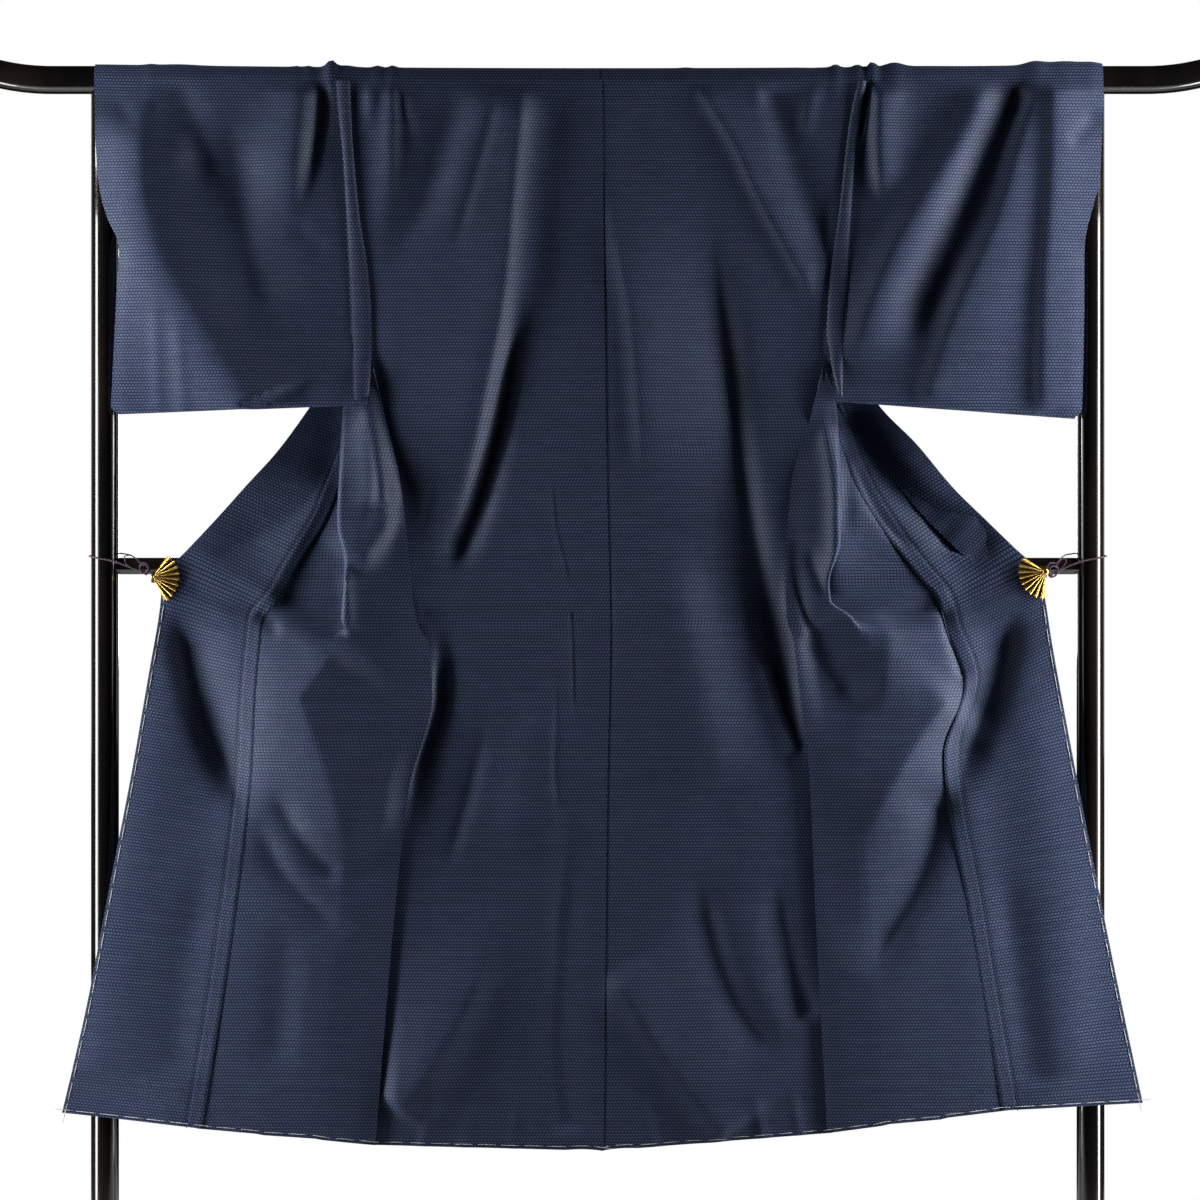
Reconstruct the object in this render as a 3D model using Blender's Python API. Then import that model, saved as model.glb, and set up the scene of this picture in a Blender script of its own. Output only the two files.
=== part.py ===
# An unlined men's kimono hung over the rail of a lacquered kimono stand, seen from its back.
# +X runs along the rail, +Z is up, and -Y is the side on which the kimono's back hangs.
# The origin is on the floor, in the middle of the stand's feet.

import math

import bmesh
import bpy
import numpy as np
from mathutils import Vector

MM = 0.001

# Stand
RAIL_HEIGHT = 1.62
RAIL_RADIUS = 0.0187
RAIL_SAG = 0.005
RAIL_HALF_LENGTH = 0.87
RAIL_BEND_START = 0.73
RAIL_BEND_RADIUS = 0.31
RAIL_STRAIGHT_POINTS = 13
RAIL_BEND_POINTS = 6
RAIL_SPAN = 0.66
POST_RADIUS = 0.0185
POST_OUT = {-1: 0.6587, 1: 0.6553}
CROSS_RAIL_DROP = 0.648
CROSS_RAIL_RADIUS = 0.011
FOOT_LENGTH = 0.42
FOOT_WIDTH = 0.058
FOOT_HEIGHT = 0.032
FOOT_EDGE = 0.006
GAP = 0.0003

# Cloth
WALL = 0.002
COLLAR_WALL = 0.003
COLLAR_WIDTH = 0.052
HANG_GAP = 0.0007
HANG_RADIUS = RAIL_RADIUS + HANG_GAP + WALL / 2

# Turns of the fronts' deep pleats: how thick a turn is, how far it rounds out, the step of a column
# where the pleat has opened out, and the pleat's depth at which a turn is full.
FOLD_TURN = 0.008
FOLD_BULGE = 0.0034
FLAT_STEP = 0.005
FULL_PLEAT = 0.03

# Folds fade out towards the seams, in metres on the fronts and in a share of the width on the back,
# and towards the rail.
FOLD_FADE = 0.05
BACK_FADE = 0.15
RAIL_FADE = 0.03

# Where one panel laps another at a seam: between their middles, and how far one goes under.
LAP = WALL + 2 * GAP
SIDE_LAP = 0.0040
TUCK = 0.004
TUCK_STEP = 0.02

# Clips and their cords
FAN_RADIUS = 0.035
FAN_HUB_RADIUS = 0.005
FAN_PLEATS = 8
FAN_SPOKE = ((0.003, 0.15), (0.019, 0.6), (FAN_RADIUS, 1))
FAN_RELIEF = 0.0022
FAN_WALL = 0.0016
JAW_LENGTH = 0.022
JAW_HEIGHT = 0.016
JAW_WALL = 0.0018
JAW_SLACK = 0.0004
RIVET_HEAD = 0.001
CORD_RADIUS = 0.0012

LEFT, RIGHT = -1, 1
NAMES = {LEFT: "left", RIGHT: "right"}


def table(columns, rows):
    """Named columns of a table whose rows are in millimetres."""
    values = np.array(rows, float) * MM
    return {name: values[:, i] for i, name in enumerate(columns.split())}


# Distances in the tables are millimetres. drop is below the rail's centre, out is away from the
# middle on the piece's own side, and back is behind the rail, where minus is towards the viewer.

# The front strip at each level: its side edge, the near and the deep fold of its pleat, and the
# seam to the overlap panel or, above that panel's tip, to the collar.
FRONT_COLUMNS = "drop side near deep seam side_back near_back deep_back seam_back"
FRONT = {
    LEFT: table(FRONT_COLUMNS, [
        (0, 331, 285, 125, 95, 20.4, 20.4, 20.4, 20.4),
        (75, 327, 283, 132, 126, 20, 21, 24, 37),
        (175, 319, 285, 146, 211, 16, 20, 29, 42),
        (293, 304, 290, 162, 256, 2, 12, 27, 42),
        (357, 303, 300, 172, 279, -11, 8, 23, 36),
        (437, 287, 337, 228, 307, -16, -13, 10, 22),
        (529, 265, 341, 259, 341, -24, -38, -10, 4),
        (587, 257, 343, 274, 363, -28, -45, -20, -8),
        (643, 251, 333, 285, 396, -31, -47, -27, -18),
        (693, 246, 336, 307, 424, -33, -47, -28, -20),
        (721, 240, 340, 325, 447, -33, -44, -29, -22),
        (745, 226, 325, 352, 449, -34, -39, -33, -24),
        (813, 221, 300, 377, 455, -34, -39, -36, -26),
        (933, 252, 318, 390, 462, -30, -38, -34, -27),
        (1093, 271, 340, 410, 481, -27, -36, -33, -27),
        (1395, 297, 372, 450, 528, -25, -30, -30, -26),
    ]),
    RIGHT: table(FRONT_COLUMNS, [
        (0, 345, 300, 133, 103, 20.4, 20.4, 20.4, 20.4),
        (75, 332, 294, 140, 134, 20, 21, 24, 37),
        (175, 319, 288, 150, 219, 16, 20, 29, 42),
        (293, 304, 290, 163, 259, 2, 12, 27, 42),
        (357, 301, 298, 176, 281, -11, 8, 23, 36),
        (437, 284, 313, 205, 308, -16, -13, 10, 22),
        (532, 256, 316, 240, 341, -24, -36, -10, 4),
        (611, 249, 316, 265, 387, -29, -44, -23, -13),
        (664, 248, 301, 272, 427, -32, -46, -28, -19),
        (690, 248, 305, 284, 449, -33, -46, -30, -21),
        (711, 249, 335, 318, 457, -33, -43, -30, -22),
        (735, 257, 352, 376, 463, -34, -40, -33, -24),
        (805, 266, 340, 412, 487, -34, -39, -36, -25),
        (900, 278, 340, 398, 459, -31, -38, -34, -27),
        (1105, 288, 355, 424, 491, -27, -36, -33, -27),
        (1371, 303, 380, 458, 536, -25, -30, -30, -26),
    ]),
}

# The back: its centre seam, and how far it stands off the rail's line there.
BACK = table("drop centre centre_back", [
    (0, 4, -20.4),
    (179, 6, -21),
    (357, 8, -22),
    (529, 10, -24),
    (733, 15, -27),
    (933, 11, -28),
    (1425, 6, -31),
])
# The near layer's distance from the rail's line along the sleeve's seam.
ARMHOLE_BACK = table("drop back", [(0, -20.4), (179, -19.5), (290, -17), (357, -14.6)])
SIDE_HEM = {LEFT: 1.417, RIGHT: 1.401}
CENTRE_HEM = 1.424

# The neck's cut behind the rail, from the centre seam to where the front's slope begins.
NECK = {
    LEFT: table("drop out", [(10, -4), (14, 52), (24, 78), (38, 98), (54, 112)]),
    RIGHT: table("drop out", [(10, 4), (14, 60), (24, 86), (38, 105), (54, 120)]),
}

# The overlap panel: a row from its seam, level by level, to its free edge. The first rows end at
# the collar's line, down to the clip, and the others at the front edge.
OKUMI_COLUMNS = "seam_drop edge edge_drop edge_back"
OKUMI = {
    LEFT: table(OKUMI_COLUMNS, [
        (190, 224, 190, 43),
        (300, 293, 298, 38),
        (437, 375, 418, 19),
        (529, 431, 497, 2),
        (587, 470, 541, -8),
        (643, 515, 592, -17),
        (693, 553, 633, -21.5),
        (715, 578, 658, -23),
        (745, 583, 704, -23),
        (813, 596, 782, -23),
        (933, 617, 906, -23),
        (1093, 649, 1070, -23),
        (1250, 681, 1237, -24),
        (1395, 713, 1374, -25),
    ]),
    RIGHT: table(OKUMI_COLUMNS, [
        (190, 232, 190, 43),
        (300, 300, 298, 38),
        (437, 372, 430, 18),
        (532, 425, 487, 3),
        (600, 471, 543, -8),
        (650, 515, 587, -16),
        (689, 551, 623, -21.5),
        (713, 583, 655, -23),
        (751, 592, 690, -23),
        (805, 601, 747, -23),
        (900, 620, 853, -23),
        (1105, 664, 1080, -23),
        (1276, 699, 1253, -24),
        (1371, 722, 1361, -25),
    ]),
}

# Sleeve: the near layer's outer edge and the far layer's, each with its distance from the rail's
# line. Down to 216 the cuff is open and the post stands between the layers; below it they are sewn
# together and lie in front of the post.
CUFF_COLUMNS = "drop near near_back far far_back"
CUFF = {
    LEFT: table(CUFF_COLUMNS, [
        (0, 671, -20.4, 671, 20.4),
        (93, 667, -20.4, 665, 20.4),
        (140, 663, -20.4, 652, 20.4),
        (159, 660, -20.4, 641, 20.4),
        (195, 648, -21, 635, 6),
        (210, 640, -22, 634, -8),
        (228, 636, -23, 636, -19.6),
        (290, 640, -23, 640, -19.6),
        (357, 644, -23, 644, -19.6),
        (445, 649, -23, 649, -19.6),
    ]),
    RIGHT: table(CUFF_COLUMNS, [
        (0, 670, -20.4, 670, 20.4),
        (93, 667, -20.4, 665, 20.4),
        (140, 664, -20.4, 650, 20.4),
        (163, 658, -20.4, 638, 20.4),
        (200, 648, -21, 632, 6),
        (216, 645, -22, 632, -8),
        (234, 644, -23, 644, -19.6),
        (290, 644, -23, 644, -19.6),
        (451, 641, -23, 641, -19.6),
    ]),
}
SLEEVE_BOTTOM = {LEFT: (0.433, 0.445), RIGHT: (0.428, 0.451)}
ARMHOLE = 0.357
FREE_EDGE = {LEFT: 0.307, RIGHT: 0.310}
FREE_STEP = 0.03
SLEEVE_MIDDLE = table("drop back", [(0, -14), (357, -14.8), (430, -26.5)])
SLEEVE_CLOSING = 0.30
SLEEVE_BELLY = 0.006
BOTTOM_SAG = 0.0015
CUFF_PULL = 1.15
SLEEVE_COLUMNS = (0, 0.03, 0.065, 0.10, 0.16, 0.26, 0.38, 0.5, 0.62, 0.74, 0.87, 1)

# Folds, as soft ridges (plus) and troughs (minus) that run from one place to the next.
# Each has its half width and its height in millimetres and its places as (out, drop).
BACK_FOLDS = {
    LEFT: (
        (15, 7, ((112, 20), (160, 195), (215, 520), (245, 640))),
        (16, -7, ((110, 100), (148, 400), (165, 520), (232, 690))),
        (26, -4, ((50, 560), (56, 800), (62, 1000))),
        (24, 5, ((150, 1090), (200, 1250), (262, 1410))),
    ),
    RIGHT: (
        (16, 6, ((118, 10), (230, 150), (285, 250))),
        (22, -7, ((150, 390), (198, 600), (236, 860))),
        (20, 6, ((190, 740), (232, 850), (268, 930))),
        (28, -6, ((40, 540), (110, 690), (155, 880))),
        (24, -4, ((110, 1080), (180, 1220), (236, 1300))),
    ),
}
FRONT_FOLDS = {
    LEFT: (
        (26, -6, ((345, 860), (310, 990), (270, 1060))),
        (22, 6, ((400, 760), (330, 830), (290, 880))),
    ),
    RIGHT: (
        (26, -6, ((370, 720), (372, 830), (366, 980))),
        (22, 6, ((330, 760), (300, 860), (300, 980))),
    ),
}
OKUMI_FOLDS = {
    LEFT: (
        (15, -7, ((552, 705), (526, 790), (498, 880))),
        (16, 5, ((540, 640), (470, 600), (400, 560))),
    ),
    RIGHT: (
        (17, -7, ((565, 705), (527, 790), (500, 870))),
        (16, 5, ((560, 650), (490, 600), (420, 560))),
    ),
}
SLEEVE_FOLDS = {
    LEFT: (
        (16, 6, ((640, 60), (606, 200), (604, 260), (620, 390))),
        (18, -5, ((350, 60), (345, 240), (332, 400))),
        (24, 5, ((440, 20), (470, 150), (480, 300))),
    ),
    RIGHT: (
        (20, 6, ((560, 10), (480, 180), (400, 330))),
        (18, -5, ((350, 60), (342, 240), (330, 400))),
        (20, 5, ((596, 60), (600, 200), (598, 400))),
    ),
}
# Pleats that stand up over the rail beside the sleeve seams: out, half width and height.
RAIL_PLEATS = {
    LEFT: ((356, 7, 10), (300, 9, 3)),
    RIGHT: ((364, 6, 8), (393, 16, 5), (600, 40, 6)),
}

# The collar's line from the centre of the neck to the clip, and how far behind the rail its
# upper and its lower edge lie.
COLLAR_COLUMNS = "drop out back low_back"
COLLAR = {
    LEFT: table(COLLAR_COLUMNS, [
        (5, 0, 26.4, 27),
        (8, 44, 27.2, 28.5),
        (17, 74, 29, 32),
        (36, 97, 34.5, 38),
        (70, 122, 42.5, 45),
        (120, 166, 46, 48),
        (175, 208, 48, 50),
        (235, 250, 50.5, 52),
        (300, 292, 47.5, 49),
        (418, 373, 27, 31),
        (497, 429, 9, 14),
        (541, 467, -1.5, 3),
        (592, 511, -11, -9.5),
        (633, 548, -16.5, -15),
    ]),
    RIGHT: table(COLLAR_COLUMNS, [
        (5, 0, 26.4, 27),
        (8, 52, 27.2, 28.5),
        (17, 82, 29, 32),
        (36, 104, 34.5, 38),
        (70, 130, 42.5, 45),
        (120, 174, 46, 48),
        (175, 216, 48, 50),
        (235, 258, 50.5, 52),
        (300, 298, 47.5, 49),
        (430, 369, 26, 30),
        (487, 423, 10, 15),
        (543, 468, -1.5, 3),
        (587, 511, -10, -9),
        (623, 546, -16, -15),
    ]),
}

# Clips: the fan's hub, the direction of its middle pleat and its half opening, in degrees.
CLIP = {
    LEFT: {"out": 0.5925, "drop": 0.663, "aim": 4, "half_angle": 59},
    RIGHT: {"out": 0.5925, "drop": 0.656, "aim": 153, "half_angle": 62},
}
CLIP_BACK = -0.023


def empty_the_scene():
    for obj in list(bpy.data.objects):
        bpy.data.objects.remove(obj, do_unlink=True)


def make_material(name, colour, roughness, metallic=0.0):
    material = bpy.data.materials.new(name)
    material.use_nodes = True
    shader = material.node_tree.nodes["Principled BSDF"]
    shader.inputs["Base Color"].default_value = (*colour, 1)
    shader.inputs["Roughness"].default_value = roughness
    shader.inputs["Metallic"].default_value = metallic
    return material


def add_object(name, bm, material):
    """An object from a closed bmesh, with its faces turned out and shaded smooth."""
    bmesh.ops.recalc_face_normals(bm, faces=bm.faces)
    if bm.calc_volume(signed=True) < 0:
        bmesh.ops.reverse_faces(bm, faces=bm.faces)
    mesh = bpy.data.meshes.new(name)
    bm.to_mesh(mesh)
    bm.free()
    mesh.shade_smooth()
    mesh.set_sharp_from_angle(angle=math.radians(40))
    mesh.materials.append(material)
    obj = bpy.data.objects.new(name, mesh)
    bpy.context.collection.objects.link(obj)
    return obj


def smooth(x, xs, ys):
    """A smooth curve through a table's places that doesn't swing past them."""
    xs, ys = np.asarray(xs, float), np.asarray(ys, float)
    x = np.clip(x, xs[0], xs[-1])
    steps, slopes = np.diff(xs), np.diff(ys) / np.diff(xs)
    inner = np.where(slopes[:-1] * slopes[1:] > 0, 2 * slopes[:-1] * slopes[1:], 0)
    inner = inner / np.where(inner != 0, slopes[:-1] + slopes[1:], 1)
    tangents = np.concatenate([[slopes[0]], inner, [slopes[-1]]])
    i = np.clip(np.searchsorted(xs, x) - 1, 0, len(steps) - 1)
    t = (x - xs[i]) / steps[i]
    rise = t * t * (3 - 2 * t)
    lead = t * (1 - t) ** 2 * steps[i] * tangents[i]
    trail = t * t * (t - 1) * steps[i] * tangents[i + 1]
    return ys[i] + (ys[i + 1] - ys[i]) * rise + lead + trail


def ease(x):
    x = np.clip(x, 0, 1)
    return x * x * (3 - 2 * x)


def rail_dip(x):
    """How far the loaded rail hangs below its ends."""
    return RAIL_SAG * max(0.0, 1 - (x / RAIL_SPAN) ** 2)


def relief(folds, out, drop):
    """The height of all folds at a place, towards the viewer."""
    here = np.array((out, drop)) / MM
    height = 0.0
    for half_width, top, places in folds:
        nearest, along = math.inf, 0.0
        parts = len(places) - 1
        for k in range(parts):
            a, b = np.array(places[k]), np.array(places[k + 1])
            t = float(np.clip((here - a) @ (b - a) / ((b - a) @ (b - a)), 0, 1))
            far = float(np.linalg.norm(here - a - t * (b - a)))
            if far < nearest:
                nearest, along = far, (k + t) / parts
        fade = ease(along * 5) * ease((1 - along) * 5)
        height += top * fade * math.exp(-((nearest / half_width) ** 2))
    return height * MM


def wall_normals(points, ring):
    """The unit normals of a grid of points, rows by columns."""
    if ring:
        down = np.roll(points, -1, axis=0) - np.roll(points, 1, axis=0)
    else:
        down = np.gradient(points, axis=0)
    across = np.gradient(points, axis=1)
    normals = np.cross(down, across)
    return normals / np.linalg.norm(normals, axis=2, keepdims=True)


def cloth_wall(name, points, thickness, material, ring=False):
    """A closed wall of even thickness round a grid of points; ring joins its last row to its first."""
    points = np.array(points, float)
    rows, columns = points.shape[:2]
    normals = wall_normals(points, ring)
    bm = bmesh.new()
    sides = [
        [[bm.verts.new(p) for p in row] for row in points + normals * thickness / 2 * sign]
        for sign in (1, -1)
    ]
    steps = rows if ring else rows - 1
    for i in range(steps):
        n = (i + 1) % rows
        for j in range(columns - 1):
            for side in sides:
                bm.faces.new((side[i][j], side[n][j], side[n][j + 1], side[i][j + 1]))
        for j in (0, columns - 1):
            bm.faces.new((sides[0][i][j], sides[0][n][j], sides[1][n][j], sides[1][i][j]))
    if not ring:
        for i in (0, rows - 1):
            for j in range(columns - 1):
                bm.faces.new((sides[0][i][j], sides[0][i][j + 1], sides[1][i][j + 1], sides[1][i][j]))
    return add_object(name, bm, material)


def place(side, out, drop, back):
    """A point in the part's frame, on the left or the right of the rail's middle."""
    x = side * out
    dip = rail_dip(x) * (1 - ease(drop / 0.12))
    return (x, back, RAIL_HEIGHT - drop - dip)


# Body strips: one length of cloth on each side, from the back's hem over the rail to the front's hem.
SEAM_CELLS, TURN_CELLS, PLEAT_CELLS, SIDE_CELLS = 3, 2, 3, 3
BODY_COLUMNS = SEAM_CELLS + PLEAT_CELLS + SIDE_CELLS + 2 * TURN_CELLS
ARMHOLE_LEVELS = (0, 35, 75, 115, 155, 190, 205, 222, 255, 290, 325, 357)
SEAM_LEVELS = (
    405, 437, 480, 530, 585, 620, 650, 675, 695, 710, 724, 738, 755, 785, 813, 870, 940, 1040, 1150)
BACK_LEVELS = ARMHOLE_LEVELS + SEAM_LEVELS + (1280, 1425)
FRONT_LEVELS = (75, 95, 115, 135) + ARMHOLE_LEVELS[4:] + (380,) + SEAM_LEVELS + (1270, 1395)
OKUMI_LEVELS = FRONT_LEVELS[5:]
BOW = 0.6
HANG_ANGLES = (22.5, 45, 67.5, 90, 112.5, 135, 157.5)


def near_side_back(side, drop):
    """The back panel's distance from the rail's line at its side, where it laps the front's."""
    if drop < ARMHOLE:
        return smooth(drop, ARMHOLE_BACK["drop"], ARMHOLE_BACK["back"])
    return smooth(drop, FRONT[side]["drop"], FRONT[side]["side_back"]) - SIDE_LAP


def run(a, b, cells):
    return [a + (b - a) * k / cells for k in range(1, cells + 1)]


def front_row(side, level):
    """The places (out, back) across the front strip at one level, from its inner to its side edge."""
    t = FRONT[side]

    def at(name):
        out = smooth(level, t["drop"], t[name])
        return np.array((out, smooth(level, t["drop"], t[name + "_back"])))

    inner, deep, near, outer = at("seam"), at("deep"), at("near"), at("side")
    outer[0] -= TUCK * ease((level - ARMHOLE) / TUCK_STEP)
    deep_fold = ease(min(inner[0] - deep[0], near[0] - deep[0]) / FULL_PLEAT)
    near_fold = ease(min(near[0] - outer[0], near[0] - deep[0]) / FULL_PLEAT)
    lead = (deep - inner) / np.linalg.norm(deep - inner)
    middle = (near - deep) / np.linalg.norm(near - deep)
    last = (outer - near) / np.linalg.norm(outer - near)
    turn = np.array((0, FOLD_TURN))
    round_out = np.array((FOLD_BULGE, 0))
    deep_far = deep - lead * FLAT_STEP * (1 - deep_fold) + turn * deep_fold
    deep_near = deep + middle * FLAT_STEP * (1 - deep_fold)
    near_far = near - middle * FLAT_STEP * (1 - near_fold) + turn * near_fold
    near_near = near + last * FLAT_STEP * (1 - near_fold)
    row = [inner, *run(inner, deep_far, SEAM_CELLS)]
    row += [(deep_far + deep_near) / 2 - round_out * deep_fold, deep_near]
    row += run(deep_near, near_far, PLEAT_CELLS)
    row += [(near_far + near_near) / 2 + round_out * near_fold, near_near]
    row += run(near_near, outer, SIDE_CELLS)
    return row


def body_points(side):
    """Rows of points from the back's hem up over the rail and down to the front's hem."""
    rows = []
    seam_gap = GAP / 2
    side_of = FRONT[side]
    lowest = BACK_LEVELS[-1] * MM
    for level in reversed([value * MM for value in BACK_LEVELS]):
        row = []
        for j in range(BODY_COLUMNS + 1):
            f = j / BODY_COLUMNS
            hem = CENTRE_HEM * (1 - f) + SIDE_HEM[side] * f
            drop = level + (hem - lowest) * (level / lowest) ** 2
            centre = side * smooth(drop, BACK["drop"], BACK["centre"]) + seam_gap
            outer = smooth(drop, side_of["drop"], side_of["side"]) + WALL / 2
            out = centre + (outer - centre) * f
            bow = ease(f) * BOW + f * (1 - BOW)
            back = smooth(drop, BACK["drop"], BACK["centre_back"]) * (1 - bow)
            back += near_side_back(side, drop) * bow
            back -= relief(BACK_FOLDS[side], out, drop) * ease(drop / RAIL_FADE) * ease((1 - f) / BACK_FADE)
            row.append(place(side, out, drop, back))
        rows.append(row)
    inner = side * smooth(0, BACK["drop"], BACK["centre"]) + seam_gap
    outer = smooth(0, side_of["drop"], side_of["side"])
    for angle in (*HANG_ANGLES, 180):
        a = math.radians(angle)
        rise = HANG_RADIUS * math.sin(a)
        across = [inner + (outer + WALL / 2 - inner) * j / BODY_COLUMNS for j in range(BODY_COLUMNS + 1)]
        rows.append([place(side, out, -rise, -HANG_RADIUS * math.cos(a)) for out in across])
    top_row = [p[0] for p in front_row(side, FRONT_LEVELS[0] * MM)]
    spread = (np.array(top_row) - top_row[0]) / (top_row[-1] - top_row[0])
    even = np.linspace(0, 1, BODY_COLUMNS + 1)
    neck = NECK[side]
    for k, (drop, edge) in enumerate(zip(neck["drop"], neck["out"])):
        mix = (k + 1) / (len(neck["drop"]) + 1)
        fractions = even * (1 - mix) + spread * mix
        outer = smooth(drop, side_of["drop"], side_of["side"])
        row = []
        for f in fractions:
            out = edge + seam_gap * (k == 0) + (outer - edge) * f
            behind = smooth(drop, side_of["drop"], side_of["seam_back"]) * (1 - f)
            behind += smooth(drop, side_of["drop"], side_of["side_back"]) * f
            row.append(place(side, out, drop, behind))
        rows.append(row)
    hem = side_of["drop"][-1]
    for value in FRONT_LEVELS:
        level = min(value * MM, hem)
        share = (level / hem) ** 2
        cells = front_row(side, level)
        row = []
        for j, (out, back) in enumerate(cells):
            drop = level + (SIDE_HEM[side] - hem) * share * j / BODY_COLUMNS
            inward = (out - cells[-1][0] - TUCK) / FOLD_FADE
            lift = relief(FRONT_FOLDS[side], out, drop) * ease(inward)
            row.append(place(side, out, drop, back - lift))
        rows.append(row)
        if level == hem:
            break
    return rows


# Overlap panels, from their pointed top to the hem.
OKUMI_CELLS = 4


def okumi_points(side):
    t, front = OKUMI[side], FRONT[side]
    rows = []
    for value in OKUMI_LEVELS:
        level = min(value * MM, t["seam_drop"][-1])
        seam_out = smooth(level, front["drop"], front["seam"]) - TUCK
        start = np.array((seam_out, level, smooth(level, front["drop"], front["seam_back"]) + LAP + GAP))
        end = np.array([smooth(level, t["seam_drop"], t[k]) for k in ("edge", "edge_drop", "edge_back")])
        row = []
        for j in range(OKUMI_CELLS + 1):
            out, drop, back = start + (end - start) * j / OKUMI_CELLS
            lift = relief(OKUMI_FOLDS[side], out, drop) * math.sin(math.pi * j / OKUMI_CELLS)
            row.append(place(side, out, drop, back - lift))
        rows.append(row)
        if level == t["seam_drop"][-1]:
            break
    return rows


# Sleeves: flat bags round the rail, open at the armhole and at the cuff, closed at the bottom.
SLEEVE_LEVELS = ARMHOLE_LEVELS + (395, 430)


def sleeve_inner(side, drop):
    """The sleeve's inner edge: beside the body down to the armhole's end, then free."""
    seam = smooth(drop, FRONT[side]["drop"], FRONT[side]["side"]) + WALL / 2 + GAP
    free = ease((drop - ARMHOLE) / FREE_STEP)
    return seam * (1 - free) + FREE_EDGE[side] * free


def sleeve_backs(side, drop):
    """How far the near and the far layer lie from the rail's line at the inner edge."""
    near = smooth(drop, ARMHOLE_BACK["drop"], ARMHOLE_BACK["back"])
    far = smooth(drop, FRONT[side]["drop"], FRONT[side]["side_back"])
    close = ease((drop - SLEEVE_CLOSING) / (ARMHOLE - SLEEVE_CLOSING))
    middle = smooth(drop, SLEEVE_MIDDLE["drop"], SLEEVE_MIDDLE["back"])
    layers = (middle - LAP / 2, middle + LAP / 2)
    return near * (1 - close) + layers[0] * close, far * (1 - close) + layers[1] * close


def rail_pleat(side, out):
    return sum(h * math.exp(-(((out / MM - at) / w) ** 2)) for at, w, h in RAIL_PLEATS[side]) * MM


def sleeve_points(side):
    """Rings of points round the rail: up the near layer, over, down the far layer and back."""
    cuff = CUFF[side]
    inner_bottom, outer_bottom = SLEEVE_BOTTOM[side]

    def layer_point(level, f, far):
        drop = level * (1 + f * (outer_bottom / inner_bottom - 1))
        edge = "far" if far else "near"
        start, end = sleeve_inner(side, drop), smooth(drop, cuff["drop"], cuff[edge])
        out = start + (end - start) * f
        backs = sleeve_backs(side, drop)
        at_cuff = smooth(drop, cuff["drop"], cuff[edge + "_back"])
        hang = 1 - ease(f * CUFF_PULL)
        back = backs[far] * hang + at_cuff * (1 - hang)
        lift = relief(SLEEVE_FOLDS[side], out, drop) * math.sin(math.pi * f) * ease(drop / RAIL_FADE)
        belly = SLEEVE_BELLY * math.sin(math.pi * f) * math.sin(math.pi * min(1, drop / outer_bottom))
        return place(side, out, drop, back - lift + (belly if far else -belly))

    rings = []
    levels = [value * MM for value in SLEEVE_LEVELS]
    for level in reversed(levels):
        rings.append([layer_point(level, f, 0) for f in SLEEVE_COLUMNS])
    for angle in HANG_ANGLES:
        a = math.radians(angle)
        ring = []
        for f in SLEEVE_COLUMNS:
            out = sleeve_inner(side, 0) + (cuff["near"][0] - sleeve_inner(side, 0)) * f
            radius = HANG_RADIUS + rail_pleat(side, out) * math.sin(a) ** 2
            ring.append(place(side, out, -radius * math.sin(a), -HANG_RADIUS * math.cos(a)))
        rings.append(ring)
    for level in levels:
        rings.append([layer_point(level, f, 1) for f in SLEEVE_COLUMNS])
    near, far = np.array(rings[0]), np.array(rings[-1])
    rings.append(((near + far) / 2 - np.array((0, 0, BOTTOM_SAG))).tolist())
    return rings


# Collar: a band from clip to clip behind the fronts' edges and round the neck.
COLLAR_STEPS = 22


def collar_points():
    rows = []
    for side, steps in ((LEFT, range(COLLAR_STEPS, -1, -1)), (RIGHT, range(1, COLLAR_STEPS + 1))):
        t = COLLAR[side]
        place_on = np.arange(len(t["drop"]))
        for i in steps:
            s = i / COLLAR_STEPS * place_on[-1]
            out, drop, back, low = (smooth(s, place_on, t[k]) for k in ("out", "drop", "back", "low_back"))
            ends = [[smooth(s + half, place_on, t[k]) for k in ("out", "drop")] for half in (-0.3, 0.3)]
            ahead = np.subtract(ends[1], ends[0])
            length = math.hypot(*ahead)
            inward = np.array((-ahead[1], ahead[0])) / length
            row = []
            for f in (0, 0.5, 1):
                reach = COLLAR_WIDTH * f
                at_out, at_drop = np.array((out, drop)) + inward * reach
                row.append(place(side, at_out, at_drop, back + (low - back) * f))
            rows.append(row)
    return rows


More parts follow.
